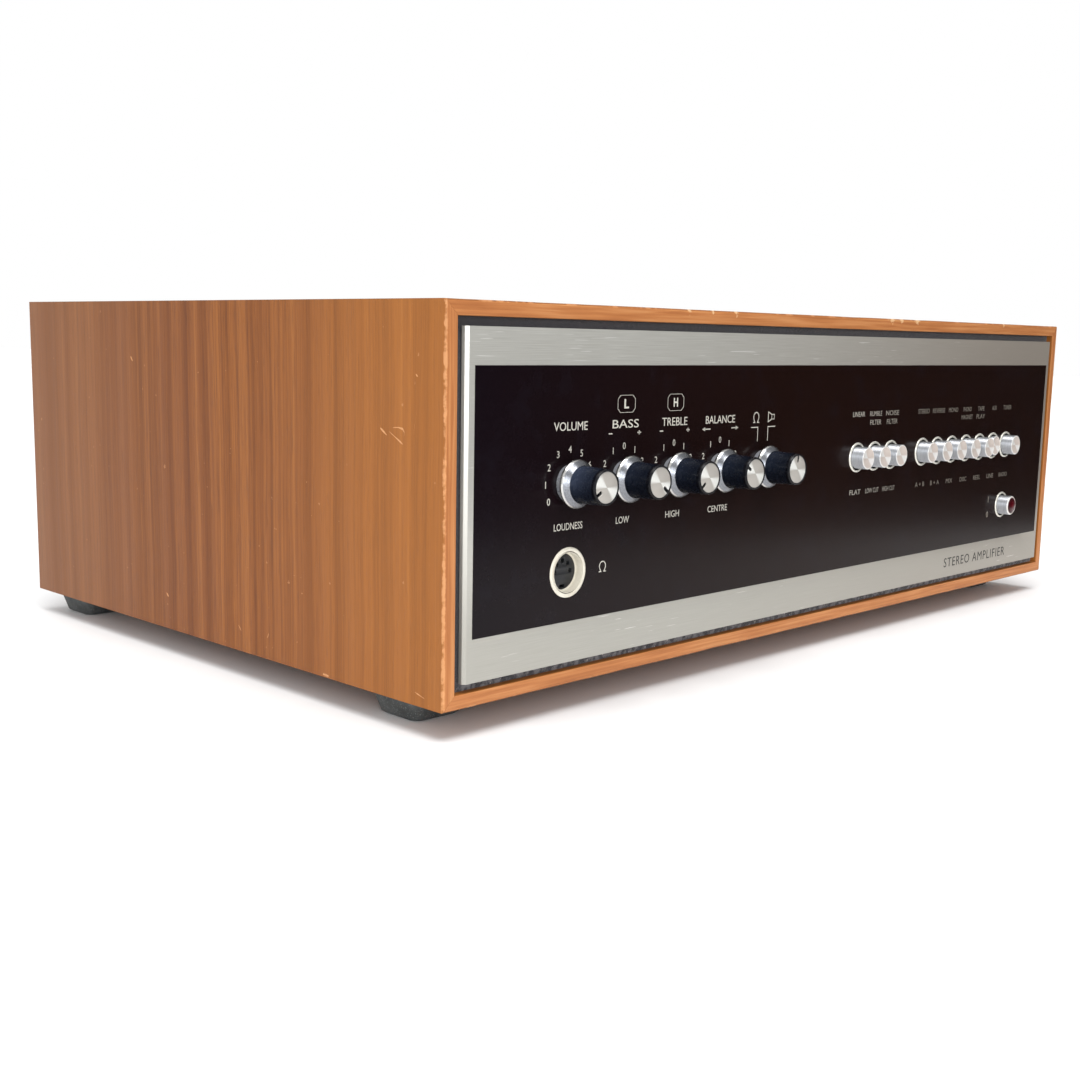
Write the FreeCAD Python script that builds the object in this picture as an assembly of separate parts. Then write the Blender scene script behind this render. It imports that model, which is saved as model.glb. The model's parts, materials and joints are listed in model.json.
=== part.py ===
"""Wood-cased integrated amplifier of about 1970, one STEP file per piece.

Everything is drawn in a bench frame: millimetres, origin at the lower left front corner of the
wooden cabinet seen from the front, +X right, +Y towards the back, +Z up. save() moves each piece
into the part's own frame, whose origin is the middle of the footprint on the surface it stands on.
"""
import FreeCAD, Part
import math
import os

# ---------------------------------------------------------------- driving dimensions (mm)
CABINET_W = 420.0
CABINET_D = 278.0
CABINET_H = 128.0
FOOT_H = 10.0

BOARD_T = 8.0            # thickness of the cabinet boards
LIP_T = 5.0              # what is left of it in the front rebate
REBATE_D = 10.0          # depth of the front rebate
ARRIS_R = 1.0            # rounding of the long outer edges

FASCIA_T = 2.5
FASCIA_PROUD = 0.7       # fascia face in front of the wood
FASCIA_BEVEL = 1.0
FELT_SET_BACK = 2.8      # felt face behind the wood's front

KNOB_X = 54.4            # axis of the first knob
KNOB_PITCH = 27.1
KNOB_NAMES = ("volume", "bass", "treble", "balance", "output")
KNOB_POINTS = (-120.0, 130.0, -130.0, -60.0, 4.0)   # pointer angle, clockwise from straight up
UPPER_ROW_Z = 69.2
LOWER_ROW_Z = 39.1

KNOB_PROUD = 17.1        # knob front beyond the fascia face
KNOB_BACK = 3.1          # its back end, clear of the ring nut
KNOB_R = 6.1
SKIRT_R = 8.2
SKIRT_RIM_T = 1.0
SKIRT_FRONT = 6.3        # where the flared ring runs out on the knob
CAP_SEAT_R = 5.3
CAP_SEAT_D = 1.1
KNOB_BORE_END = 14.0     # bottom of the shaft's bore
COLLAR_R = 6.3
COLLAR_T = 2.6
CONTROL_HOLE_R = 4.9     # clears the threaded neck of a control
NECK_R = 4.7
CONTROL_R = 11.5
CONTROL_D = 12.0
SHAFT_R = 3.0
SHAFT_BACK_Y = 14.0
RUNNING_GAP = 0.05       # radial clearance of shafts and plungers

BUTTON_X = 231.8         # axis of the first button place
BUTTON_PITCH = 13.65
FILTER_PLACES = (0, 1, 2)
SOURCE_PLACES = (4, 5, 6, 7, 8, 9, 10)
LATCHED_PLACE = 9
POWER_PLACE = 10
BUTTON_R = 4.65
BUTTON_PROUD = 5.9       # button face beyond the fascia face, released
BUTTON_LEN = 8.0
BUTTON_TRAVEL = 3.7
PLUNGER_R = 2.0
PLUNGER_LEN = 22.6
PLUNGER_BORE_END_Y = 36.0
LENS_SEAT_R = 3.85
LENS_SEAT_D = 1.6
LENS_SPHERE_R = 12.0

BEZEL_R = 6.35
BEZEL_BORE_R = 5.25
BEZEL_SLEEVE_R = 5.6
BEZEL_PROUD = 0.6

DIN_BORE_R = 6.75        # takes the 13.2 mm shell of a standard round plug
DIN_RECESS = 3.6         # of the rear sockets
HEADPHONE_RECESS = 3.0
DIN_FLANGE_R = 8.6
DIN_SLEEVE_R = 7.6
DIN_INSERT_R = 6.2
DIN_PROUD = 0.7
DIN_SHELL_D = 11.0
DIN_PIN_CIRCLE_R = 3.75
DIN_PIN_HOLE_R = 0.8

SHEET_T = 1.2            # chassis steel
TRAY_SIDE_Z = 24.0       # top of the tray's side walls
TRAY_REAR_Z = 22.0
PEG_R = 3.0
VENT_X = (90.0, 300.0)
VENT_Y = 168.0
VENT_LEN = 62.0
VENT_W = 4.0
VENT_PITCH = 11.0
REAR_PANEL_Y = 264.5
REAR_PANEL_T = 1.5
BANK_PLATE_Y = 8.0       # front plate of the switch banks
BANK_PLATE_T = 1.5
BANK_HALF_H = 9.0
PILLAR_R = 3.0
SWITCH_BACK_Y = 46.0
POWER_SWITCH_BACK_Y = 50.0
STANDOFF_H = 12.0
BOARD_PCB_T = 1.6

FOOT_X = 19.5
FOOT_FRONT_Y = 34.0
FOOT_REAR_Y = 261.0
FOOT_BOTTOM = 21.0
FOOT_TOP = 26.5
FOOT_BORE_D = 5.0        # depth of the hollow for the screw head

SCREW_R = 2.0
SCREW_LEN = 16.0
SCREW_HEAD_R = 3.8
SCREW_HEAD_H = 2.4
SCREW_HOLE_R = 2.15

# ---------------------------------------------------------------- derived places
FACE_Y = -FASCIA_PROUD
FRONT_MOST = FACE_Y - KNOB_PROUD
INNER_FLOOR_Z = BOARD_T + SHEET_T
FRONT_WALL_Y = FACE_Y + FASCIA_T
DEEP_LEFT = BOARD_T + 2.0
DEEP_RIGHT = CABINET_W - BOARD_T - 2.0
DIN_X = KNOB_X
SHIFT = FreeCAD.Vector(-CABINET_W / 2, -(FRONT_MOST + CABINET_D) / 2, FOOT_H)
FOOT_PLACES = [(x, y) for x in (FOOT_X, CABINET_W - FOOT_X) for y in (FOOT_FRONT_Y, FOOT_REAR_Y)]

PANEL_GAP = 0.1          # clearance of a socket body in its panel hole
HEAT_SINK_X = (60.0, 180.0)
HEAT_SINK_Z = (24.0, 106.0)
SINK_BASE_T = 3.5
FIN_T = 1.8
FIN_PITCH = 8.0
TRANSFORMER_X = 340.0
TRANSFORMER_Y = 195.0
CORE_H = 70.0
CORE_HALF_W = 42.0
CORE_HALF_T = 17.0
LEG_T = 14.0
REAR_DIN_X = (205.0, 231.0, 257.0, 283.0)
REAR_DIN_Z = 92.0
REAR_DIN_PROUD = 4.4
REAR_FLANGE_R = 9.5
REAR_BODY_D = 12.0       # depth of the rear sockets behind the panel
SPEAKER_X = (214.0, 250.0)
SPEAKER_Z = 52.0
SPEAKER_BODY_R = 7.5
SPEAKER_PIN_R = 2.05
FUSE_X = (292.0, 314.0, 336.0)
FUSE_Z = 44.0
FUSE_TUBE_R = 6.0
INLET_X = 380.0
INLET_Z = 52.0
INLET_HALF_W = 12.0
INLET_HALF_H = 8.0
INLET_RECESS_D = 13.0
INLET_RECESS_R = 4.5
PANEL_SCREW_X = (24.0, 150.0, 270.0, 396.0)
PANEL_SCREW_Z = 15.6
REAR_FACE_Y = REAR_PANEL_Y + REAR_PANEL_T


# ---------------------------------------------------------------- helpers
def point(x, y, z):
    return FreeCAD.Vector(x, y, z)


def block(x, y, z):
    """Box between the pairs x, y and z."""
    return Part.makeBox(x[1] - x[0], y[1] - y[0], z[1] - z[0], point(x[0], y[0], z[0]))


def rod(x, z, radius, y):
    """Cylinder along Y between the pair y."""
    return Part.makeCylinder(radius, y[1] - y[0], point(x, y[0], z), point(0, 1, 0))


def post(x, y, radius, z):
    """Cylinder along Z between the pair z."""
    return Part.makeCylinder(radius, z[1] - z[0], point(x, y, z[0]), point(0, 0, 1))


def lathe(outline, x, z):
    """Solid of revolution about the Y line through x, z. The outline lists (distance in front of
    the fascia face, radius)."""
    corners = [point(x + radius, FACE_Y - proud, z) for proud, radius in outline]
    face = Part.Face(Part.makePolygon(corners + corners[:1]))
    return face.revolve(point(x, 0, z), point(0, 1, 0), 360)


def prism(outline, y):
    """Outline of (x, z) corners drawn out along Y between the pair y."""
    corners = [point(px, y[0], pz) for px, pz in outline]
    face = Part.Face(Part.makePolygon(corners + corners[:1]))
    return face.extrude(point(0, y[1] - y[0], 0))


def joined(pieces):
    """One solid out of overlapping or touching ones."""
    return pieces[0].multiFuse(pieces[1:]).removeSplitter()


def without(body, tools):
    return body.cut(Part.makeCompound(tools))


def save(name, solids):
    """Write the solids of one node, moved into the part's own frame."""
    shape = solids[0] if len(solids) == 1 else Part.makeCompound(solids)
    shape = shape.copy()
    shape.translate(SHIFT)
    shape.exportStep("parts/%s.step" % name)


def knob_x(index):
    return KNOB_X + KNOB_PITCH * index


def button_x(place):
    return BUTTON_X + BUTTON_PITCH * place


def button_places():
    """Axis (x, z) of every button, the power button last."""
    upper = [(button_x(place), UPPER_ROW_Z) for place in FILTER_PLACES + SOURCE_PLACES]
    return upper + [(button_x(POWER_PLACE), LOWER_ROW_Z)]


# ---------------------------------------------------------------- cabinet
def mitred_outline(side, thickness):
    """Corners of one board of a mitred frame, seen from the front."""
    width, height, inner = CABINET_W, CABINET_H, thickness
    outer_ring = ((0, 0), (width, 0), (width, height), (0, height))
    inner_ring = ((inner, inner), (width - inner, inner), (width - inner, height - inner), (inner, height - inner))
    start = ("bottom", "right", "top", "left").index(side)
    end = (start + 1) % 4
    return (outer_ring[start], outer_ring[end], inner_ring[end], inner_ring[start])


def cabinet_envelope():
    """Outer block of the sleeve with its long outer edges rounded."""
    body = block((0, CABINET_W), (0, CABINET_D), (0, CABINET_H))
    long_edges = [edge for edge in body.Edges if abs(edge.tangentAt(edge.FirstParameter).y) > 0.9]
    return body.makeFillet(ARRIS_R, long_edges)


def cabinet_board(side):
    front = prism(mitred_outline(side, LIP_T), (0, REBATE_D))
    rear = prism(mitred_outline(side, BOARD_T), (REBATE_D, CABINET_D))
    return joined([front, rear]).common(cabinet_envelope())


def cabinet_bottom():
    holes = [post(x, y, SCREW_HOLE_R, (-1, BOARD_T + 1)) for x, y in FOOT_PLACES]
    return without(cabinet_board("bottom"), holes + vent_slots((-1, BOARD_T + 1)))


def vent_slots(z):
    """Long slots under the transformer and under the amplifier board."""
    slots = []
    for start_x in VENT_X:
        for row in range(6):
            slot_y = VENT_Y + VENT_PITCH * row
            slots.append(block((start_x, start_x + VENT_LEN), (slot_y, slot_y + VENT_W), z))
    return slots


def felt_strips():
    y = (FELT_SET_BACK, REBATE_D - 0.2)
    inner, low, high = BOARD_T, BOARD_T, CABINET_H - BOARD_T
    left, right = LIP_T, CABINET_W - LIP_T
    bottom_strip = block((left, right), y, (LIP_T, low))
    top_strip = block((left, right), y, (high, CABINET_H - LIP_T))
    left_strip = block((left, inner), y, (low, high))
    right_strip = block((CABINET_W - inner, right), y, (low, high))
    return [bottom_strip, top_strip, left_strip, right_strip]


def foot(x, y):
    """Tapered rubber foot with rounded corners, drawn around its screw."""
    def ring(size, z, corner):
        plate = Part.makeBox(size, size, 1, point(x - size / 2, y - size / 2, z))
        upright = [edge for edge in plate.Edges if abs(edge.tangentAt(edge.FirstParameter).z) > 0.9]
        rounded = plate.makeFillet(corner, upright)
        return min(rounded.Faces, key=lambda face: face.CenterOfMass.z).OuterWire
    body = Part.makeLoft([ring(FOOT_BOTTOM, -FOOT_H, 4.0), ring(FOOT_TOP, 0.0, 5.0)], True, True)
    sole = [edge for edge in body.Edges if edge.BoundBox.ZMax < -FOOT_H + 0.01]
    body = body.makeFillet(1.2, sole)
    counterbore = post(x, y, SCREW_HEAD_R + 0.6, (-FOOT_H - 1, -FOOT_H + FOOT_BORE_D))
    return without(body, [counterbore, post(x, y, SCREW_HOLE_R, (-FOOT_H, 1))])


# ---------------------------------------------------------------- fascia and chassis
def fascia_plate():
    x = (BOARD_T, CABINET_W - BOARD_T)
    body = block(x, (FACE_Y, FACE_Y + FASCIA_T), (BOARD_T, CABINET_H - BOARD_T))
    front = [edge for edge in body.Edges if edge.BoundBox.YMax < FACE_Y + 0.01]
    sides = [edge for edge in front if edge.BoundBox.ZLength > 1]
    body = body.makeChamfer(FASCIA_BEVEL, sides)
    hole_y = (FACE_Y - 1, FACE_Y + FASCIA_T + 1)
    holes = [rod(knob_x(index), UPPER_ROW_Z, CONTROL_HOLE_R, hole_y) for index in range(len(KNOB_NAMES))]
    holes += [rod(hole_x, hole_z, BEZEL_SLEEVE_R + 0.05, hole_y) for hole_x, hole_z in button_places()]
    holes.append(rod(DIN_X, LOWER_ROW_Z, DIN_SLEEVE_R + PANEL_GAP, hole_y))
    return without(body, holes)


def chassis_tray():
    """Folded steel tray: floor, front wall behind the fascia, low side walls and rear flange."""
    x = (DEEP_LEFT, DEEP_RIGHT)
    y = (FRONT_WALL_Y, REAR_PANEL_Y)
    z = (BOARD_T, BOARD_T + SHEET_T)
    floor = block(x, (REBATE_D, y[1]), z)
    step = block(x, (y[0], REBATE_D + 1), (z[0] + 0.1, z[1]))
    wall = block(x, (y[0], y[0] + SHEET_T), (z[0] + 0.1, CABINET_H - BOARD_T - 1))
    left = block((x[0], x[0] + SHEET_T), y, (z[0] + 0.1, TRAY_SIDE_Z))
    right = block((x[1] - SHEET_T, x[1]), y, (z[0] + 0.1, TRAY_SIDE_Z))
    rear = block(x, (y[1] - SHEET_T, y[1]), (z[0], TRAY_REAR_Z))
    pegs = [post(px, py, PEG_R, (z[0], INNER_FLOOR_Z + STANDOFF_H)) for px, py in board_pegs()]
    tray = joined([floor, step, wall, left, right, rear] + pegs)
    wall_y = (y[0] - 1, y[0] + SHEET_T + 1)
    holes = [rod(knob_x(index), UPPER_ROW_Z, CONTROL_HOLE_R, wall_y) for index in range(len(KNOB_NAMES))]
    holes += [rod(hole_x, hole_z, BEZEL_SLEEVE_R, wall_y) for hole_x, hole_z in button_places()]
    holes.append(rod(DIN_X, LOWER_ROW_Z, DIN_SLEEVE_R + PANEL_GAP, wall_y))
    holes += [post(px, py, SCREW_HOLE_R, (z[0] - 1, z[1] + 1)) for px, py in FOOT_PLACES]
    holes += [rod(px, PANEL_SCREW_Z, SCREW_HOLE_R, (y[1] - 3, y[1] + 1)) for px in PANEL_SCREW_X]
    return without(tray, holes + vent_slots((z[0] - 1, z[1] + 1)))


def board_pegs():
    """Feet of the two circuit boards on the chassis floor."""
    tone = [(px, py) for px in (46.0, 198.0) for py in (36.0, 96.0)]
    power = [(px, py) for px in (62.0, 180.0) for py in (156.0, 240.0)]
    return tone + power


def rear_panel():
    y = (REAR_PANEL_Y, REAR_FACE_Y)
    cut_y = (y[0] - 1, y[1] + 1)
    body = block((DEEP_LEFT, DEEP_RIGHT), y, (INNER_FLOOR_Z, CABINET_H - BOARD_T - 1))
    cuts = [rod(px, REAR_DIN_Z, DIN_SLEEVE_R + PANEL_GAP, cut_y) for px in REAR_DIN_X]
    cuts += [rod(px, SPEAKER_Z, SPEAKER_BODY_R + PANEL_GAP, cut_y) for px in SPEAKER_X]
    cuts += [rod(px, FUSE_Z, FUSE_TUBE_R + PANEL_GAP, cut_y) for px in FUSE_X]
    cuts += [rod(px, PANEL_SCREW_Z, SCREW_HOLE_R, cut_y) for px in PANEL_SCREW_X]
    half_w, half_h = INLET_HALF_W + PANEL_GAP, INLET_HALF_H + PANEL_GAP
    cuts.append(block((INLET_X - half_w, INLET_X + half_w), cut_y, (INLET_Z - half_h, INLET_Z + half_h)))
    for row in range(8):
        slot_x = 316.0 + 9.0 * row
        cuts.append(block((slot_x, slot_x + 3.0), cut_y, (78.0, 108.0)))
    return without(body, cuts)


def button_bezel(x, z):
    """Turned ring whose sleeve sits in the fascia hole."""
    outline = ((BEZEL_PROUD, BEZEL_BORE_R + 0.2), (BEZEL_PROUD, BEZEL_R - 0.35), (0.3, BEZEL_R), (0, BEZEL_R),
               (0, BEZEL_SLEEVE_R), (-FASCIA_T, BEZEL_SLEEVE_R), (-FASCIA_T, BEZEL_BORE_R),
               (BEZEL_PROUD - 0.2, BEZEL_BORE_R))
    return lathe(outline, x, z)


def knob_collar(x):
    """Ring nut that holds a control's threaded neck against the fascia."""
    bevel = 0.4
    outline = ((0, CONTROL_HOLE_R), (0, COLLAR_R), (COLLAR_T - bevel, COLLAR_R), (COLLAR_T, COLLAR_R - bevel),
               (COLLAR_T, CONTROL_HOLE_R))
    return lathe(outline, x, UPPER_ROW_Z)


# ---------------------------------------------------------------- knobs and buttons
def knob_body(index):
    """Black sleeve with a shallow seat for the end cap and a blind bore for the shaft."""
    bore = SHAFT_R + RUNNING_GAP
    seat = KNOB_PROUD - CAP_SEAT_D
    outline = ((KNOB_BACK, bore), (KNOB_BACK, KNOB_R + 0.2), (KNOB_PROUD - 0.4, KNOB_R), (KNOB_PROUD, KNOB_R - 0.3),
               (KNOB_PROUD, CAP_SEAT_R), (seat, CAP_SEAT_R), (seat, 0), (KNOB_BORE_END, 0), (KNOB_BORE_END, bore))
    return lathe(outline, knob_x(index), UPPER_ROW_Z)


def knob_skirt(index):
    """Bright flared ring around the knob's back end: a short rim, then a cone up to the sleeve."""
    inner = KNOB_R + 0.25
    rim_front = KNOB_BACK + SKIRT_RIM_T
    outline = ((KNOB_BACK, inner), (KNOB_BACK, SKIRT_R - 0.3), (KNOB_BACK + 0.3, SKIRT_R), (rim_front, SKIRT_R),
               (rim_front + 0.3, SKIRT_R - 0.2), (SKIRT_FRONT - 0.3, inner + 0.3), (SKIRT_FRONT, inner))
    return lathe(outline, knob_x(index), UPPER_ROW_Z)


def knob_cap(index):
    """Spun aluminium end cap with the pointer notch cut through it."""
    x = knob_x(index)
    face = KNOB_PROUD - 0.15
    back = KNOB_PROUD - CAP_SEAT_D + 0.05
    rim = CAP_SEAT_R - 0.05
    outline = ((back, 0), (face, 0), (face, rim - 0.2), (face - 0.2, rim), (back, rim))
    disc = lathe(outline, x, UPPER_ROW_Z)
    notch = block((x - 0.5, x + 0.5), (FRONT_MOST - 1, FRONT_MOST + 2), (UPPER_ROW_Z + 2.4, UPPER_ROW_Z + 6.0))
    notch.rotate(point(x, 0, UPPER_ROW_Z), point(0, 1, 0), KNOB_POINTS[index])
    return disc.cut(notch)


def knob_shaft(index):
    """Spindle from inside the control to inside the knob."""
    return rod(knob_x(index), UPPER_ROW_Z, SHAFT_R, (FACE_Y - KNOB_BORE_END + 0.2, SHAFT_BACK_Y))


def button(place_x, place_z, pressed):
    """Turned cap with a dished end, and the plunger behind it."""
    face = BUTTON_PROUD - (BUTTON_TRAVEL if pressed else 0.0)
    back = face - BUTTON_LEN
    outline = ((face - 0.35, 0), (face - 0.05, BUTTON_R - 0.55), (face, BUTTON_R - 0.4), (face - 0.25, BUTTON_R),
               (back, BUTTON_R), (back, PLUNGER_R), (back - PLUNGER_LEN, PLUNGER_R), (back - PLUNGER_LEN, 0))
    return lathe(outline, place_x, place_z)


def power_button():
    """Cap hollowed at the front for the lens."""
    face = BUTTON_PROUD
    back = face - BUTTON_LEN
    seat, end = face - LENS_SEAT_D, back - PLUNGER_LEN
    outline = ((seat, 0), (seat, LENS_SEAT_R), (face - 0.1, LENS_SEAT_R), (face, LENS_SEAT_R + 0.15),
               (face, BUTTON_R - 0.3), (face - 0.3, BUTTON_R), (back, BUTTON_R), (back, PLUNGER_R), (end, PLUNGER_R),
               (end, 0))
    return lathe(outline, button_x(POWER_PLACE), LOWER_ROW_Z)


def power_lens():
    """Low domed red lens seated in the power button."""
    seat = BUTTON_PROUD - LENS_SEAT_D
    rim = LENS_SEAT_R - RUNNING_GAP
    x, z = button_x(POWER_PLACE), LOWER_ROW_Z
    rim_y = FACE_Y - seat - 0.7
    drop = LENS_SPHERE_R - math.sqrt(LENS_SPHERE_R ** 2 - rim ** 2)
    dome = Part.makeSphere(LENS_SPHERE_R, point(x, rim_y - drop + LENS_SPHERE_R, z))
    return dome.common(rod(x, z, rim, (FACE_Y - BUTTON_PROUD, FACE_Y - seat)))


# ---------------------------------------------------------------- front socket
def din_pin_holes(x, z, y):
    """Five holes on a half circle, and the key slot below."""
    holes = []
    for step in range(5):
        angle = math.radians(-90 + 45 * step)
        across, up = DIN_PIN_CIRCLE_R * math.sin(angle), DIN_PIN_CIRCLE_R * math.cos(angle)
        holes.append(rod(x + across, z + up, DIN_PIN_HOLE_R, y))
    holes.append(block((x - 1.2, x + 1.2), y, (z - 5.6, z - 4.4)))
    return holes


def headphone_ring():
    """Ring and shell of the front socket, stepped down behind the recess."""
    floor = DIN_PROUD - HEADPHONE_RECESS
    outline = ((DIN_PROUD, DIN_BORE_R + 0.15), (DIN_PROUD, DIN_FLANGE_R - 0.4), (DIN_PROUD / 2, DIN_FLANGE_R),
               (0, DIN_FLANGE_R), (0, DIN_SLEEVE_R), (-DIN_SHELL_D, DIN_SLEEVE_R), (-DIN_SHELL_D, DIN_INSERT_R),
               (floor, DIN_INSERT_R), (floor, DIN_BORE_R), (DIN_PROUD - 0.15, DIN_BORE_R))
    return lathe(outline, DIN_X, LOWER_ROW_Z)


def headphone_insert():
    face_y = FACE_Y - DIN_PROUD + HEADPHONE_RECESS + 0.1
    body = rod(DIN_X, LOWER_ROW_Z, DIN_INSERT_R - 0.02, (face_y, face_y + 9.0))
    return without(body, din_pin_holes(DIN_X, LOWER_ROW_Z, (face_y - 1, face_y + 5.0)))


# ---------------------------------------------------------------- controls behind the front wall
def rotary_control(index):
    """Potentiometer or rotary switch: can, threaded neck and tag strip."""
    x = knob_x(index)
    wall_back = FRONT_WALL_Y + SHEET_T
    can = rod(x, UPPER_ROW_Z, CONTROL_R, (wall_back, wall_back + CONTROL_D))
    neck = rod(x, UPPER_ROW_Z, NECK_R, (FACE_Y - COLLAR_T / 2, wall_back + 1))
    tags = block((x - 8.0, x + 8.0), (wall_back + 5.0, wall_back + 6.2), (UPPER_ROW_Z - 19.0, UPPER_ROW_Z - 10.0))
    body = joined([can, neck, tags])
    return body.cut(rod(x, UPPER_ROW_Z, SHAFT_R + RUNNING_GAP, (FACE_Y - 3, SHAFT_BACK_Y + 0.2)))


def push_switch_bank():
    """Ten interlocked switch modules on one steel front plate, on three pillars."""
    first, last = button_x(FILTER_PLACES[0]), button_x(SOURCE_PLACES[-1])
    plate_y = (BANK_PLATE_Y, BANK_PLATE_Y + BANK_PLATE_T)
    plate = block((first - 16.0, last + 16.0), plate_y, (UPPER_ROW_Z - BANK_HALF_H, UPPER_ROW_Z + BANK_HALF_H))
    pillar_x = (first - 12.0, button_x(3), last + 12.0)
    wall_back = FRONT_WALL_Y + SHEET_T
    pillars = [rod(px, UPPER_ROW_Z, PILLAR_R, (wall_back, BANK_PLATE_Y + 1)) for px in pillar_x]
    modules = []
    for place in FILTER_PLACES + SOURCE_PLACES:
        x = button_x(place)
        body_z = (UPPER_ROW_Z - BANK_HALF_H + 2.0, UPPER_ROW_Z + BANK_HALF_H - 2.0)
        modules.append(block((x - 5.8, x + 5.8), (BANK_PLATE_Y + 1, SWITCH_BACK_Y), body_z))
    bank = joined([plate] + pillars + modules)
    bores = [rod(button_x(place), UPPER_ROW_Z, PLUNGER_R + RUNNING_GAP, (BANK_PLATE_Y - 1, PLUNGER_BORE_END_Y))
             for place in FILTER_PLACES + SOURCE_PLACES]
    return without(bank, bores)


def power_switch():
    x, z = button_x(POWER_PLACE), LOWER_ROW_Z
    wall_back = FRONT_WALL_Y + SHEET_T
    height = (z - BANK_HALF_H, z + BANK_HALF_H)
    plate = block((x - 15.0, x + 15.0), (BANK_PLATE_Y, BANK_PLATE_Y + BANK_PLATE_T), height)
    pillars = [rod(px, z, PILLAR_R, (wall_back, BANK_PLATE_Y + 1)) for px in (x - 11.5, x + 11.5)]
    housing = block((x - 9.0, x + 9.0), (BANK_PLATE_Y + 1, POWER_SWITCH_BACK_Y), height)
    body = joined([plate, housing] + pillars)
    return body.cut(rod(x, z, PLUNGER_R + RUNNING_GAP, (BANK_PLATE_Y - 1, PLUNGER_BORE_END_Y)))


# ---------------------------------------------------------------- power supply and amplifier
def transformer_core():
    """Stack of E and I laminations with two windows."""
    x, y, floor = TRANSFORMER_X, TRANSFORMER_Y, INNER_FLOOR_Z
    depth = (y - CORE_HALF_T, y + CORE_HALF_T)
    stack = block((x - CORE_HALF_W, x + CORE_HALF_W), depth, (floor, floor + CORE_H))
    window_y = (depth[0] - 1, depth[1] + 1)
    window_z = (floor + LEG_T, floor + CORE_H - LEG_T)
    window_x = (LEG_T, CORE_HALF_W - LEG_T)
    windows = [block((x + window_x[0], x + window_x[1]), window_y, window_z),
               block((x - window_x[1], x - window_x[0]), window_y, window_z)]
    feet = [block((foot_x - 7.0, foot_x + 7.0), depth, (floor, floor + 2.0))
            for foot_x in (x - CORE_HALF_W, x + CORE_HALF_W)]
    return without(joined([stack] + feet), windows)


def transformer_winding():
    """Coil former and copper around the middle leg."""
    x, y, floor = TRANSFORMER_X, TRANSFORMER_Y, INNER_FLOOR_Z
    half_w = CORE_HALF_W - LEG_T - 0.2
    coil = block((x - half_w, x + half_w), (y - 30.0, y + 30.0), (floor + LEG_T + 0.3, floor + CORE_H - LEG_T - 0.3))
    upright = [edge for edge in coil.Edges if abs(edge.tangentAt(edge.FirstParameter).z) > 0.9]
    coil = coil.makeFillet(8.0, upright)
    leg_x = (x - LEG_T - 0.2, x + LEG_T + 0.2)
    leg_y = (y - CORE_HALF_T - 0.3, y + CORE_HALF_T + 0.3)
    return coil.cut(block(leg_x, leg_y, (floor, floor + CORE_H)))


def reservoir_capacitor(x):
    can = post(x, 214.0, 17.5, (INNER_FLOOR_Z, INNER_FLOOR_Z + 72.0))
    rims = [edge for edge in can.Edges if edge.BoundBox.ZLength < 0.01]
    return can.makeFillet(1.5, rims)


def heat_sink():
    """Finned plate on the outside of the rear panel, one fin along each end."""
    base_back = REAR_FACE_Y + SINK_BASE_T
    base = block(HEAT_SINK_X, (REAR_FACE_Y, base_back), HEAT_SINK_Z)
    count = int((HEAT_SINK_X[1] - HEAT_SINK_X[0]) / FIN_PITCH)
    fin_x = [HEAT_SINK_X[0] + FIN_PITCH * n for n in range(count)] + [HEAT_SINK_X[1] - FIN_T]
    fins = [block((x, x + FIN_T), (base_back - 1, CABINET_D - 1.0), HEAT_SINK_Z) for x in fin_x]
    return joined([base] + fins)


def output_transistor(x, z):
    """Metal can on an oval flange, against the rear panel in front of the heat sink."""
    y = REAR_PANEL_Y
    flange = joined([rod(x, z, 12.0, (y - 1.6, y)), block((x - 15.0, x + 15.0), (y - 1.6, y), (z - 4.0, z + 4.0)),
                     rod(x - 15.0, z, 4.0, (y - 1.6, y)), rod(x + 15.0, z, 4.0, (y - 1.6, y))])
    return joined([flange, rod(x, z, 10.2, (y - 8.0, y - 1))])


def circuit_board(x, y, parts):
    """Board on its pegs with its taller components standing on it. parts lists (x, y, radius, height)."""
    low = INNER_FLOOR_Z + STANDOFF_H
    high = low + BOARD_PCB_T
    body = [block(x, y, (low, high))]
    for part_x, part_y, radius, height in parts:
        body.append(post(part_x, part_y, radius, (low + 0.5, high + height)))
    return joined(body)


def power_amp_board():
    tall = [(80.0 + 26.0 * column, 178.0 + 34.0 * row, 6.5, 24.0) for column in range(4) for row in range(2)]
    small = [(70.0 + 17.0 * column, 195.0, 2.6, 9.0) for column in range(7)]
    return circuit_board((56.0, 186.0), (150.0, 246.0), tall + small)


def tone_board():
    small = [(56.0 + 16.0 * column, 50.0 + 15.0 * row, 3.2, 11.0) for column in range(9) for row in range(3)]
    return circuit_board((40.0, 204.0), (30.0, 102.0), small)


# ---------------------------------------------------------------- rear sockets
def rear_din_socket(x):
    """Round input socket: flange with a plug recess, body through the panel, five pin holes."""
    z = REAR_DIN_Z
    mouth = REAR_FACE_Y + REAR_DIN_PROUD
    flange = rod(x, z, REAR_FLANGE_R, (REAR_FACE_Y, mouth))
    body = joined([flange, rod(x, z, DIN_SLEEVE_R, (REAR_FACE_Y - REAR_BODY_D, REAR_FACE_Y + 1))])
    floor = mouth - DIN_RECESS
    recess = rod(x, z, DIN_BORE_R, (floor, mouth + 1))
    return without(body, [recess] + din_pin_holes(x, z, (floor - 5.0, floor + 1)))


def speaker_socket(x):
    """Loudspeaker socket with one flat and one round contact."""
    z = SPEAKER_Z
    mouth = REAR_FACE_Y + 2.0
    body = joined([rod(x, z, REAR_FLANGE_R, (REAR_FACE_Y, mouth)),
                   rod(x, z, SPEAKER_BODY_R, (REAR_FACE_Y - REAR_BODY_D, REAR_FACE_Y + 1))])
    deep = (mouth - 9.0, mouth + 1)
    return without(body, [rod(x - 3.2, z, SPEAKER_PIN_R, deep), block((x + 2.6, x + 3.8), deep, (z - 3.0, z + 3.0))])


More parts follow.
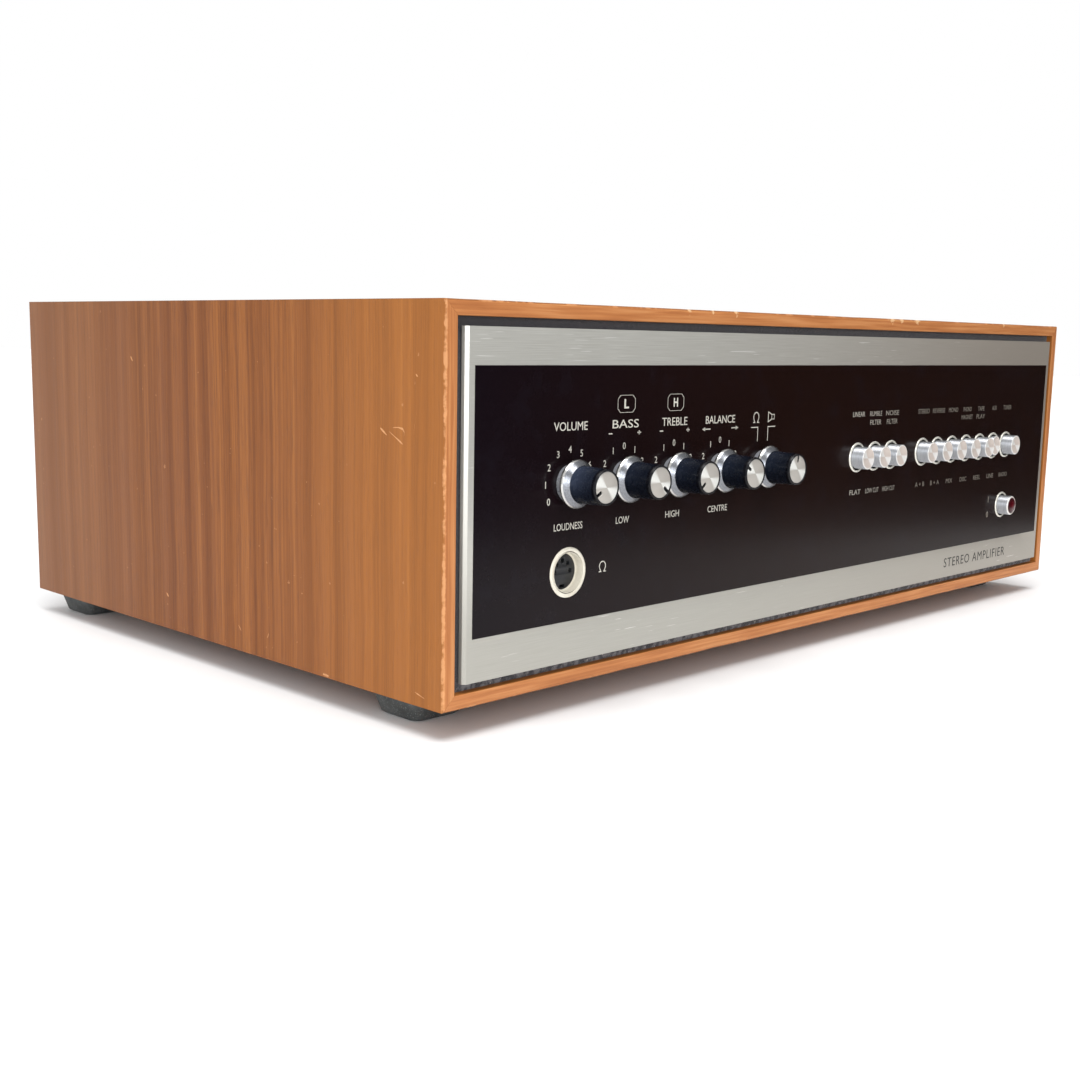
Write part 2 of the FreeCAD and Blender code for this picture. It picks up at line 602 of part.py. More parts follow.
def fuse_holder(x):
    """Bayonet cap outside, tube inside."""
    mouth = REAR_FACE_Y + 9.0
    parts = [rod(x, FUSE_Z, 7.8, (REAR_FACE_Y, REAR_FACE_Y + 2.0)), rod(x, FUSE_Z, 6.4, (REAR_FACE_Y + 1, mouth)),
             rod(x, FUSE_Z, FUSE_TUBE_R, (REAR_FACE_Y - 32.0, REAR_FACE_Y + 1))]
    slot = block((x - 5.0, x + 5.0), (mouth - 1.4, mouth + 1), (FUSE_Z - 0.8, FUSE_Z + 0.8))
    return joined(parts).cut(slot)


def mains_inlet():
    """Two-pin appliance inlet: collar with an oval recess and two pins."""
    x, z = INLET_X, INLET_Z
    mouth = REAR_FACE_Y + 3.0
    floor = mouth - INLET_RECESS_D
    deep = (floor, mouth + 1)
    width, height = (x - INLET_HALF_W, x + INLET_HALF_W), (z - INLET_HALF_H, z + INLET_HALF_H)
    body = joined([block((x - 15.0, x + 15.0), (REAR_FACE_Y, mouth), (z - 10.5, z + 10.5)),
                   block(width, (floor - 3.0, REAR_FACE_Y + 1), height)])
    recess = joined([block((x - 4.4, x + 4.4), deep, (z - INLET_RECESS_R, z + INLET_RECESS_R)),
                     rod(x - 4.4, z, INLET_RECESS_R, deep), rod(x + 4.4, z, INLET_RECESS_R, deep)])
    pins = [rod(x + side * 4.3, z, 1.2, (floor - 1, mouth - 3.0)) for side in (-1, 1)]
    return joined([body.cut(recess)] + pins)


# ---------------------------------------------------------------- screws
def machine_screw():
    """Pan-head screw pointing along +Z, its head's underside at the origin."""
    shank = Part.makeCylinder(SCREW_R, SCREW_LEN, point(0, 0, 0), point(0, 0, 1))
    head = Part.makeCylinder(SCREW_HEAD_R, SCREW_HEAD_H, point(0, 0, -SCREW_HEAD_H), point(0, 0, 1))
    rim = [edge for edge in head.Edges if edge.BoundBox.ZMax < -SCREW_HEAD_H + 0.01]
    head = head.makeFillet(0.9, rim)
    slot = block((-SCREW_HEAD_R - 1, SCREW_HEAD_R + 1), (-0.5, 0.5), (-SCREW_HEAD_H - 1, -SCREW_HEAD_H + 1.1))
    return joined([shank, head]).cut(slot)


def foot_screw(x, y):
    screw = machine_screw()
    screw.translate(point(x, y, -FOOT_H + FOOT_BORE_D))
    return screw


def panel_screw(x):
    screw = machine_screw()
    screw.rotate(point(0, 0, 0), point(1, 0, 0), 90)
    screw.translate(point(x, REAR_FACE_Y, PANEL_SCREW_Z))
    return screw


# ---------------------------------------------------------------- assembly
def build_cabinet():
    save("cabinet_bottom", [cabinet_bottom()])
    for side in ("top", "left", "right"):
        save("cabinet_" + side, [cabinet_board(side)])
    save("felt_strips", felt_strips())
    save("rubber_feet", [foot(x, y) for x, y in FOOT_PLACES])
    save("machine_screws", [foot_screw(x, y) for x, y in FOOT_PLACES] + [panel_screw(x) for x in PANEL_SCREW_X])


def build_front():
    save("fascia_plate", [fascia_plate()])
    save("chassis_tray", [chassis_tray()])
    save("rear_panel", [rear_panel()])
    save("button_bezels", [button_bezel(x, z) for x, z in button_places()])
    save("knob_collars", [knob_collar(knob_x(index)) for index in range(len(KNOB_NAMES))])
    save("headphone_ring", [headphone_ring()])
    save("headphone_insert", [headphone_insert()])
    save("rotary_controls", [rotary_control(index) for index in range(len(KNOB_NAMES))])
    save("push_switch_bank", [push_switch_bank()])
    save("power_switch", [power_switch()])


def build_controls():
    for index, name in enumerate(KNOB_NAMES):
        save(name + "_knob", [knob_body(index)])
        save(name + "_knob_skirt", [knob_skirt(index)])
        save(name + "_knob_cap", [knob_cap(index)])
        save(name + "_shaft", [knob_shaft(index)])
    for number, place in enumerate(FILTER_PLACES):
        save("filter_button_%d" % (number + 1), [button(button_x(place), UPPER_ROW_Z, False)])
    for number, place in enumerate(SOURCE_PLACES):
        pressed = place == LATCHED_PLACE
        save("source_button_%d" % (number + 1), [button(button_x(place), UPPER_ROW_Z, pressed)])
    save("power_button", [power_button()])
    save("power_lens", [power_lens()])


def build_inside():
    save("transformer_core", [transformer_core()])
    save("transformer_winding", [transformer_winding()])
    save("reservoir_capacitors", [reservoir_capacitor(x) for x in (222.0, 264.0)])
    save("heat_sink", [heat_sink()])
    save("output_transistors", [output_transistor(x, z) for x in (90.0, 150.0) for z in (46.0, 82.0)])
    save("power_amp_board", [power_amp_board()])
    save("tone_board", [tone_board()])


def build_rear_sockets():
    save("rear_din_sockets", [rear_din_socket(x) for x in REAR_DIN_X])
    save("speaker_sockets", [speaker_socket(x) for x in SPEAKER_X])
    save("fuse_holders", [fuse_holder(x) for x in FUSE_X])
    save("mains_inlet", [mains_inlet()])


def main():
    os.makedirs("parts", exist_ok=True)
    build_cabinet()
    build_front()
    build_controls()
    build_inside()
    build_rear_sockets()


main()
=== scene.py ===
"""Looks of a wood-cased integrated amplifier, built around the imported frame.

Axes are the frame's: +X to the right seen from the front, +Y to the back, +Z up. Lengths passed to
the helpers are millimetres, and MM turns them into metres. Colours are 8-bit unless a name says linear.
"""

import json
import math
import random

import bmesh
import bpy
from mathutils import Matrix, Vector

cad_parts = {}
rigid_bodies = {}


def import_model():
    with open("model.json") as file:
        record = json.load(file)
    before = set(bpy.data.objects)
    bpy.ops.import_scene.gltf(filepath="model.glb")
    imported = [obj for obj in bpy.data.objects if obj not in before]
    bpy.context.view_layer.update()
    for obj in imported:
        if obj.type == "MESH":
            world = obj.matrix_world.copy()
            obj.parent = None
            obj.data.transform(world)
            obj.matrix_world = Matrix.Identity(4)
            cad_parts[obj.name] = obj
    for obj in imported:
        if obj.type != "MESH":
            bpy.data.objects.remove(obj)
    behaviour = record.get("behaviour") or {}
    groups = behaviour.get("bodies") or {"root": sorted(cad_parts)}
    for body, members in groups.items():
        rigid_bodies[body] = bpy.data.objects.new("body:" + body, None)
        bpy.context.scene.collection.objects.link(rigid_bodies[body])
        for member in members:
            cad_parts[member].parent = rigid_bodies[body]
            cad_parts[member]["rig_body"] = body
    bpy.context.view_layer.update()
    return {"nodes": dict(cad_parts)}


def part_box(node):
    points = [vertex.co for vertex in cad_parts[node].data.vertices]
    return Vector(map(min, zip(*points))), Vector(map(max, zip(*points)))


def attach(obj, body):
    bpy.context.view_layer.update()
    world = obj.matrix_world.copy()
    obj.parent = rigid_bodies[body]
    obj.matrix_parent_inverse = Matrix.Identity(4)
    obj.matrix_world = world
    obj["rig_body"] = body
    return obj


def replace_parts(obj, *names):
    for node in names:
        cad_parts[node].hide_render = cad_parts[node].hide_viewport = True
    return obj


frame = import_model()

MM = 0.001
SHARP_ANGLE = math.radians(38)
CASE = "case"

# ---------------- places, all read from the frame
CABINET_LOW = Vector((*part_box("cabinet_left")[0].xy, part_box("cabinet_bottom")[0].z))
CABINET_HIGH = Vector((*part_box("cabinet_right")[1].xy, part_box("cabinet_top")[1].z))
WIDTH, DEPTH, HEIGHT = ((high - low) / MM for low, high in zip(CABINET_LOW, CABINET_HIGH))
FRONT, BACK = CABINET_LOW.y / MM, CABINET_HIGH.y / MM
FLOOR_SIDE, TOP = CABINET_LOW.z / MM, CABINET_HIGH.z / MM
FASCIA_LOW, FASCIA_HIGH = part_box("fascia_plate")
PLATE_LEFT, PLATE_RIGHT = FASCIA_LOW.x / MM, FASCIA_HIGH.x / MM
FACE_Y = FASCIA_LOW.y
REAR_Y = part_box("rear_panel")[1].y
KNOBS = ("volume", "bass", "treble", "balance", "output")
BUTTONS = tuple("filter_button_%d" % number for number in range(1, 4))
BUTTONS += tuple("source_button_%d" % number for number in range(1, 8))


def in_front(node, y=FACE_Y):
    """Point on the node's own front-to-back axis."""
    low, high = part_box(node)
    return Vector(((low.x + high.x) / 2, y, (low.z + high.z) / 2))


def panel_mm(node):
    """A node's axis, as distances from the cabinet's lower left corner seen from the front."""
    place = in_front(node)
    return (place.x - CABINET_LOW.x) / MM, (place.z - CABINET_LOW.z) / MM


def on_panel(x, z, proud=0.0):
    """Point over the fascia: x and z from the cabinet's lower left corner, proud in front of the face."""
    return Vector((CABINET_LOW.x + x * MM, FACE_Y - proud * MM, CABINET_LOW.z + z * MM))


def with_settings(item, **settings):
    for setting, value in settings.items():
        setattr(item, setting, value)
    return item


# ---------------- material helpers
def srgb(red, green, blue):
    """Linear colour of an 8-bit screen colour."""
    def linear(value):
        value = value / 255
        return value / 12.92 if value <= 0.04045 else ((value + 0.055) / 1.055) ** 2.4
    return linear(red), linear(green), linear(blue)


class Nodes:
    """Adds nodes to one tree."""

    def __init__(self, tree):
        self.tree = tree

    def node(self, kind, inputs=None, **settings):
        node = with_settings(self.tree.nodes.new(kind), **settings)
        for socket, value in (inputs or {}).items():
            self.feed(node.inputs[socket], value)
        return node

    def feed(self, socket, value):
        """Link an output to the socket, or set it to a plain value."""
        if isinstance(value, bpy.types.NodeSocket):
            self.tree.links.new(value, socket)
        else:
            socket.default_value = value

    def vector(self, operation, first, second):
        return self.node("ShaderNodeVectorMath", {0: first, 1: second}, operation=operation).outputs[0]

    def math(self, operation, first, second=0.0):
        return self.node("ShaderNodeMath", {0: first, 1: second}, operation=operation).outputs[0]

    def times(self, first, second):
        return self.math("MULTIPLY", first, second)

    def plus(self, first, second):
        return self.math("ADD", first, second)

    def minus(self, first, second):
        return self.math("SUBTRACT", first, second)

    def between(self, value, low, high, out_low=0.0, out_high=1.0, kind="SMOOTHSTEP"):
        """Step of value from low to high."""
        sockets = ("Value", "From Min", "From Max", "To Min", "To Max")
        inputs = dict(zip(sockets, (value, low, high, out_low, out_high)))
        return self.node("ShaderNodeMapRange", inputs, interpolation_type=kind).outputs["Result"]


class Shading(Nodes):
    """Builds one material, in millimetres of the piece's own coordinates."""

    def __init__(self, name, sockets):
        self.material = bpy.data.materials.new(name)
        self.material.use_nodes = True
        super().__init__(self.material.node_tree)
        self.shader = self.tree.nodes["Principled BSDF"]
        for socket, value in sockets.items():
            self.shader.inputs[socket].default_value = value
        coordinates = self.node("ShaderNodeTexCoord").outputs["Object"]
        inputs = {0: coordinates, "Scale": 1 / MM}
        self.place = self.node("ShaderNodeVectorMath", inputs, operation="SCALE").outputs[0]

    def axis(self, name, place=None):
        return self.node("ShaderNodeSeparateXYZ", {0: place or self.place}).outputs[name]

    def along_axis(self, name, value):
        return self.node("ShaderNodeCombineXYZ", {name: value}).outputs[0]

    def normal_y(self):
        return self.axis("Y", self.node("ShaderNodeNewGeometry").outputs["Normal"])

    def radius(self, x, z):
        """Distance from the piece's own Y axis."""
        return self.math("SQRT", self.plus(self.times(x, x), self.times(z, z)))

    def stretched(self, factors, place=None):
        return self.vector("MULTIPLY", place or self.place, Vector(factors))

    def noise(self, size, place=None, detail=2.0, roughness=0.5):
        """Noise whose blotches are about size millimetres."""
        inputs = {"Vector": place or self.place, "Scale": 1 / size, "Detail": detail, "Roughness": roughness}
        return self.node("ShaderNodeTexNoise", inputs).outputs["Fac"]

    def cells(self, size):
        inputs = {"Vector": self.place, "Scale": 1 / size}
        return self.node("ShaderNodeTexVoronoi", inputs).outputs["Distance"]

    def ramp(self, value, *stops):
        node = self.node("ShaderNodeValToRGB", {"Fac": value})
        ramp = node.color_ramp
        while len(ramp.elements) < len(stops):
            ramp.elements.new(0.5)
        for element, (position, colour) in zip(ramp.elements, stops):
            element.position = position
            element.color = (*srgb(*colour), 1.0)
        return node.outputs["Color"]

    def mix(self, factor, first, second):
        """Mix of two colours, each an output or a linear colour."""
        node = self.node("ShaderNodeMix", {"Factor": factor}, data_type="RGBA")
        for socket, colour in ((6, first), (7, second)):
            linked = isinstance(colour, bpy.types.NodeSocket)
            self.feed(node.inputs[socket], colour if linked else (*colour, 1.0))
        return node.outputs[2]

    def tint(self, colour, mask, amount, target):
        """The colour moved towards the target, by amount where the mask is 1."""
        return self.mix(self.times(mask, amount), colour, srgb(*target))

    def bump(self, height, depth):
        """Bump of depth millimetres for a height from 0 to 1."""
        inputs = {"Height": height, "Distance": depth * MM, "Strength": 1.0}
        return self.node("ShaderNodeBump", inputs).outputs["Normal"]

    def finish(self, colour, roughness=None, normal=None):
        for socket, value in (("Base Color", colour), ("Roughness", roughness), ("Normal", normal)):
            if value is not None:
                self.feed(self.shader.inputs[socket], value)
        return self.material


# ---------------- materials
GRAIN_SWAY, SWAY_LENGTH = 4.0, 95.0
# Broad patches, streaks and dashes: size, squeeze, detail, the noise's step, amount and colour.
VENEER_MARKS = ((42.0, 0.003, 1.0, (0.42, 0.60), 0.35, (114, 61, 23)),
                (3.0, 0.004, 1.0, (0.61, 0.72), 0.36, (86, 47, 20)),
                (0.8, 0.035, 2.0, (0.58, 0.68), 0.34, (90, 46, 14)))


def wood(name, grain):
    """Straight-grained veneer, its lines along the X or Z axis."""
    s = Shading(name, {"Roughness": 0.5, "Specular IOR Level": 0.28})
    sway = s.times(s.minus(s.noise(SWAY_LENGTH), 0.5), GRAIN_SWAY)
    swayed = s.vector("ADD", s.place, s.along_axis("Y", sway))

    def along(squeeze):
        return s.stretched((squeeze, 1.0, 1.0) if grain == "X" else (1.0, 1.0, squeeze), swayed)

    bands = s.noise(8.0, along(0.004), 1.0)
    lines = s.noise(1.7, along(0.006), 3.0, 0.65)
    fine = s.noise(0.6, along(0.03))
    tone = s.plus(s.plus(s.times(bands, 0.36), s.times(lines, 0.46)), s.times(fine, 0.18))
    colour = s.ramp(tone, (0.34, (94, 48, 14)), (0.43, (115, 63, 18)), (0.50, (129, 73, 23)),
                    (0.57, (142, 83, 28)), (0.68, (160, 100, 42)))
    for size, squeeze, detail, step, amount, target in VENEER_MARKS:
        marks = s.between(s.noise(size, along(squeeze), detail), *step)
        colour = s.tint(colour, marks, amount, target)
    pores = s.between(s.noise(0.34, along(0.05), 1.0), 0.60, 0.72)
    colour = s.tint(colour, pores, 0.35, (82, 44, 18))
    colour = s.tint(colour, s.between(s.axis("Y"), FRONT + 120, FRONT + 10), 0.45, (170, 107, 46))
    colour = s.tint(colour, s.between(s.axis("Y"), FRONT + 120, BACK), 0.60, (122, 80, 50))
    edge_colour = s.ramp(s.noise(1.1, along(0.03), 3.0), (0.30, (172, 106, 62)), (0.5, (192, 124, 74)),
                         (0.7, (208, 144, 92)))
    front_edge = s.between(s.times(s.normal_y(), -1.0), 0.75, 0.95)
    colour = s.mix(s.times(front_edge, 0.85), colour, edge_colour)
    colour = s.tint(colour, worn_arris(s), 0.7, (214, 154, 104))
    if grain == "X":
        colour = s.tint(colour, top_chips(s), 0.75, (228, 190, 144))
    specks = s.between(s.noise(2.6), 0.745, 0.77)
    colour = s.tint(colour, specks, 0.40, (196, 142, 96))
    height = s.plus(s.times(fine, 0.4), s.times(pores, -0.8))
    return s.finish(colour, s.between(bands, 0.3, 0.7, 0.56, 0.46), s.bump(height, 0.03))


def worn_arris(s):
    """1 along the cabinet's front outer edges, broken up, and 0 away from them."""
    z = s.axis("Z")
    from_side = s.math("MAXIMUM", s.minus(WIDTH / 2, s.math("ABSOLUTE", s.axis("X"))), 0.0)
    from_front = s.math("MAXIMUM", s.minus(s.axis("Y"), FRONT), 0.0)
    broken = s.between(s.noise(4.0, None, 5.0, 0.65), 0.35, 0.65, -0.15, 0.6)
    side_wear = s.between(s.plus(s.plus(from_side, from_front), broken), 0.55, 1.15, 1.0, 0.0)
    from_level_edge = s.plus(s.math("MINIMUM", s.minus(TOP, z), s.minus(z, FLOOR_SIDE)), from_front)
    broken = s.between(s.noise(5.0, None, 4.0), 0.38, 0.62, -0.1, 2.6)
    return s.math("MAXIMUM", side_wear, s.between(s.plus(from_level_edge, broken), 0.25, 0.8, 1.0, 0.0))


# Chips along the front edge of the top: place along X and half width.
TOP_CHIPS = ((-94.0, 1.2), (-80.0, 0.8), (-66.0, 1.3), (46.0, 3.2), (53.5, 1.6), (67.5, 2.6), (150.0, 0.9))


def top_chips(s):
    """1 on the chips and 0 elsewhere."""
    x = s.axis("X")
    from_edge = s.plus(s.minus(TOP, s.axis("Z")), s.minus(s.axis("Y"), FRONT))
    broken = s.between(s.noise(0.9, None, 4.0), 0.3, 0.7, -0.5, 0.5)
    ragged = s.plus(s.times(from_edge, 0.6), broken)
    chips = 0.0
    for centre, half_width in TOP_CHIPS:
        beside = s.math("DIVIDE", s.math("ABSOLUTE", s.minus(x, centre)), half_width)
        chips = s.math("MAXIMUM", chips, s.between(s.plus(beside, ragged), 1.0, 1.25, 1.0, 0.0))
    return chips


def bare_wood():
    s = Shading("bare_wood", {"Roughness": 0.6})
    fibre = s.noise(0.5, s.stretched((1.0, 1.0, 0.2)), 3.0)
    return s.finish(s.ramp(fibre, (0.3, (178, 118, 70)), (0.7, (214, 158, 104))), None, s.bump(fibre, 0.04))


def felt():
    """Dark nap, with pale dust and lint on the bottom strip."""
    s = Shading("felt", {"Roughness": 0.95, "Sheen Weight": 0.35, "Sheen Roughness": 0.6})
    fibres = s.noise(0.35, None, 3.0, 0.7)
    colour = s.ramp(fibres, (0.3, (23, 20, 27)), (0.55, (40, 37, 44)), (0.75, (62, 57, 65)))
    low_down = s.between(s.axis("Z"), FLOOR_SIDE + 6, FLOOR_SIDE + 9, 1.0, 0.0)
    dust = s.times(low_down, s.between(s.noise(2.2, None, 4.0), 0.42, 0.62))
    colour = s.tint(colour, dust, 0.55, (150, 147, 150))
    colour = s.mix(s.times(s.between(s.cells(2.4), 0.13, 0.08), low_down), colour, srgb(205, 200, 196))
    return s.finish(colour, None, s.bump(fibres, 0.25))


def brushed(name, light, dark, roughness=0.34, grain=(0.012, 1.0, 1.0), metallic=1.0):
    """Metal brushed along one axis, with faint blotches."""
    s = Shading(name, {"Metallic": metallic, "Anisotropic": 0.45})
    lines = s.noise(0.22, s.stretched(grain), 3.0, 0.6)
    tone = s.plus(s.times(lines, 0.35), s.times(s.noise(26.0), 0.65))
    rough = s.between(lines, 0.25, 0.75, roughness - 0.06, roughness + 0.10)
    return s.finish(s.ramp(tone, (0.3, dark), (0.7, light)), rough, s.bump(lines, 0.012))


def fascia_metal():
    """Warm grey brushed sheet that darkens to the right as painted shade and grows darker towards the bottom,
    with a few bright scratches on its top strip.
    """
    s = Shading("fascia_metal", {"Metallic": 0.5, "Anisotropic": 0.5})
    lines = s.noise(0.20, s.stretched((0.010, 1.0, 1.0)), 3.0, 0.6)
    colour = s.ramp(lines, (0.28, (190, 187, 178)), (0.55, (204, 202, 194)), (0.75, (216, 214, 206)))
    # Painted shade: the plate darkens and browns towards the right.
    colour = s.tint(colour, s.between(s.axis("X"), PLATE_LEFT + 60, PLATE_RIGHT), 0.62, (158, 140, 124))
    colour = s.tint(colour, s.between(s.axis("Z"), FLOOR_SIDE + 60, FLOOR_SIDE + 20), 0.55, (150, 147, 138))
    fine = s.noise(0.5, s.stretched((0.03, 1.0, 1.0)), 1.0)
    scratched = s.times(s.between(fine, 0.70, 0.74), s.between(s.noise(30.0, None, 1.0), 0.5, 0.65))
    colour = s.tint(colour, scratched, 0.6, (246, 244, 240))
    return s.finish(colour, s.between(lines, 0.25, 0.75, 0.30, 0.44), s.bump(lines, 0.010))


def printed_black():
    """Satin screen-printed field with a fine tooth and faint dust, navy on the left and browner to the right as
    painted light.
    """
    s = Shading("printed_black", {"Specular IOR Level": 0.13})
    tooth = s.noise(0.28)
    rightward_painted_light = s.between(s.axis("X"), PLATE_LEFT, PLATE_RIGHT)
    # Painted light: navy black on the left turning brownish black towards the right.
    colour = s.mix(rightward_painted_light, srgb(4, 9, 22), srgb(26, 13, 10))
    colour = s.tint(colour, s.between(s.noise(14.0, None, 5.0, 0.65), 0.48, 0.72), 0.12, (36, 36, 46))
    colour = s.tint(colour, s.between(s.cells(3.2), 0.035, 0.02), 0.25, (110, 108, 110))
    return s.finish(colour, s.between(tooth, 0.3, 0.7, 0.16, 0.27), s.bump(tooth, 0.003))


# Where along X the painted shade on the ink starts and where it is full.
SHADE_FROM_TO = (-40.0, 85.0)


def printed_ink(name, light, dark, shaded):
    """Ink with a fine speckle, turning to the third colour over the right half of the panel: painted shade."""
    s = Shading(name, {"Roughness": 0.55})
    speckle = s.noise(0.22, None, 3.0, 0.7)
    rightward_painted_light = s.between(s.axis("X"), *SHADE_FROM_TO)
    # Painted shade over the right half of the panel.
    colour = s.tint(s.ramp(speckle, (0.32, dark), (0.52, light)), rightward_painted_light, 0.85, shaded)
    return s.finish(colour, None, s.bump(speckle, 0.006))


# Angle of the painted highlight's two wedges on the spun faces.
PAINTED_HIGHLIGHT_TILT = math.radians(-28)
WALL_SHADE = 0.86
RIM_LINEAR = (0.92, 0.91, 0.88)


def spun(name, light, dark, roughness, side=None):
    """Faced aluminium: rings around the piece's own Y axis, with a painted highlight of two bright wedges in its
    colour where the rings would catch the light. The side colour, where given, is for the turned wall behind the
    face."""
    s = Shading(name, {"Metallic": 0.4, "Anisotropic": 0.9, "Anisotropic Rotation": 0.25})
    tangent = s.node("ShaderNodeTangent", direction_type="RADIAL", axis="Y")
    s.feed(s.shader.inputs["Tangent"], tangent.outputs[0])
    # light is the colour of the painted highlight, dark the metal's own.
    light, dark = srgb(*light), srgb(*dark)
    x, z = s.axis("X"), s.axis("Z")
    radius = s.radius(x, z)
    rings = s.noise(0.22, s.along_axis("X", radius), 1.0)
    # Painted highlight: two bright wedges fixed to the piece.
    turn = s.minus(s.math("ARCTAN2", z, x), PAINTED_HIGHLIGHT_TILT)
    painted_highlight = s.between(s.math("COSINE", s.times(turn, 2.0)), 0.30, 0.95)
    colour = s.mix(s.between(rings, 0.35, 0.65, 0.0, 0.15), s.mix(painted_highlight, dark, light), dark)
    rough = s.between(rings, 0.3, 0.7, roughness - 0.03, roughness + 0.05)
    if side:
        side = srgb(*side)
        on_wall = s.between(s.math("ABSOLUTE", s.normal_y()), 0.75, 0.35)
        lines = s.noise(0.3, s.stretched((0.02, 1.0, 0.02)))
        wall = s.mix(s.between(lines, 0.35, 0.65), side, tuple(WALL_SHADE * part for part in side))
        colour = s.mix(s.times(s.between(radius, 4.05, 4.3), 0.8), colour, RIM_LINEAR)
        colour = s.mix(on_wall, colour, wall)
        s.feed(s.shader.inputs["Metallic"], s.between(on_wall, 0.0, 1.0, 0.4, 0.95))
        rough = s.plus(rough, s.times(on_wall, 0.22))
    return s.finish(colour, rough, s.bump(rings, 0.002))


HAZE_SHADE = 0.72


def polished(name, colour, roughness, metallic=1.0):
    """Plated metal, with hairline polishing marks and a little haze."""
    s = Shading(name, {"Metallic": metallic})
    colour = srgb(*colour)
    haze = s.noise(1.8, None, 4.0, 0.6)
    marks = s.noise(0.16, s.stretched((1.0, 0.08, 1.0)))
    shade = s.mix(s.between(haze, 0.35, 0.75, 0.0, 0.35), colour, tuple(HAZE_SHADE * part for part in colour))
    return s.finish(shade, s.between(haze, 0.3, 0.75, roughness, roughness + 0.12), s.bump(marks, 0.003))


LIP_START, LIP_FULL = 7.72, 7.95


def skirt_metal():
    """Knob skirt: bright outer lip, and a darker satin cone running up to the sleeve."""
    s = Shading("skirt_metal", {"Metallic": 0.95})
    lip = s.between(s.radius(s.axis("X"), s.axis("Z")), LIP_START, LIP_FULL)
    marks = s.noise(0.3, s.stretched((1.0, 0.1, 1.0)))
    cone = s.ramp(marks, (0.35, (120, 122, 127)), (0.65, (150, 152, 157)))
    rough = s.between(lip, 0.0, 1.0, 0.26, 0.12)
    return s.finish(s.mix(lip, cone, srgb(212, 211, 208)), rough, s.bump(marks, 0.002))


def moulded(name, light, dark, roughness=0.45, grain=0.5, depth=0.02, specks=None, coat=0.0):
    """Plastic or rubber with a fine moulded texture, mottling and optional specks."""
    s = Shading(name, {"Coat Weight": coat})
    texture = s.noise(grain, None, 3.0, 0.6)
    colour = s.mix(s.between(s.noise(9.0, None, 3.0), 0.3, 0.7), srgb(*dark), srgb(*light))
    if specks:
        colour = s.mix(s.between(s.noise(0.5), 0.60, 0.68, 0.0, 0.7), colour, srgb(*specks))
    rough = s.between(texture, 0.3, 0.7, roughness - 0.06, roughness + 0.08)
    return s.finish(colour, rough, s.bump(texture, depth))


def lens_red():
    """Deep red moulding with fine rings, darker towards its rim."""
    s = Shading("lens_red", {"Specular IOR Level": 0.35})
    radius = s.radius(s.axis("X"), s.axis("Z"))
    facets = s.math("SINE", s.times(radius, 9.0))
    colour = s.mix(s.between(radius, 0.0, 3.6), srgb(84, 6, 18), srgb(52, 3, 11))
    return s.finish(colour, s.between(facets, -1.0, 1.0, 0.18, 0.28), s.bump(facets, 0.006))


KNOB_TIP, KNOB_TIP_EDGE, KNOB_ROOT = -15.7, -15.0, -6.0


def knob_plastic(name, dust_and_light):
    """Navy black satin moulding, lighter towards its back end and its upper side, partly from dust and partly
    from painted light.
    """
    s = Shading(name, {"Specular IOR Level": 0.30})
    dust = s.between(s.noise(2.6, None, 5.0, 0.6), 0.30, 0.70, 0.80, 1.0)
    # Partly dust and partly painted light: a lighter patch towards the back end and on the upper side, kept off
    # the front end by a near-black band before the tip.
    backward = s.between(s.axis("Y"), KNOB_TIP_EDGE, KNOB_ROOT, 0.30, 1.0)
    upward = s.between(s.axis("Z"), -5.0, 2.0, 0.25, 1.0)
    colour = s.tint(srgb(2, 4, 12), s.times(s.times(dust, backward), upward), dust_and_light, (78, 88, 110))
    colour = s.tint(colour, s.between(s.axis("Y"), KNOB_TIP_EDGE, KNOB_TIP), 0.9, (6, 6, 12))
    lines = s.noise(0.5, s.stretched((0.05, 1.0, 0.05)), 1.0)
    return s.finish(colour, s.between(dust, 0.80, 1.0, 0.20, 0.30), s.bump(lines, 0.002))


BOARD_TOP = 34.4


def circuit_board():
    """Brown laminate with a darker print, and coloured parts on its upper side."""
    s = Shading("circuit_board", {"Roughness": 0.5})
    tracks = s.between(s.noise(3.5, s.stretched((1.0, 0.25, 1.0)), 1.0), 0.48, 0.52)
    colour = s.mix(tracks, srgb(120, 92, 48), srgb(158, 124, 66))
    parts = s.noise(11.0, None, 0.0)
    parts = s.ramp(parts, (0.40, (52, 70, 120)), (0.50, (190, 176, 140)), (0.60, (150, 52, 40)))
    colour = s.mix(s.between(s.axis("Z"), BOARD_TOP - 0.6, BOARD_TOP), colour, parts)
    return s.finish(colour, None, s.bump(s.noise(1.2, None, 3.0), 0.02))


def layered(name, sockets, noise, dark, light, depth):
    """Stacked sheets or wraps: noise is the layers' size, stretch and detail; dark and light are stops."""
    s = Shading(name, sockets)
    size, stretch, detail = noise
    layers = s.noise(size, s.stretched(stretch), detail)
    return s.finish(s.ramp(layers, dark, light), None, s.bump(layers, depth))


def floor_paint():
    s = Shading("studio_floor", {"Roughness": 0.6})
    return s.finish(s.mix(s.between(s.noise(40.0, None, 3.0), 0.3, 0.7), (0.86,) * 3, (0.88,) * 3))


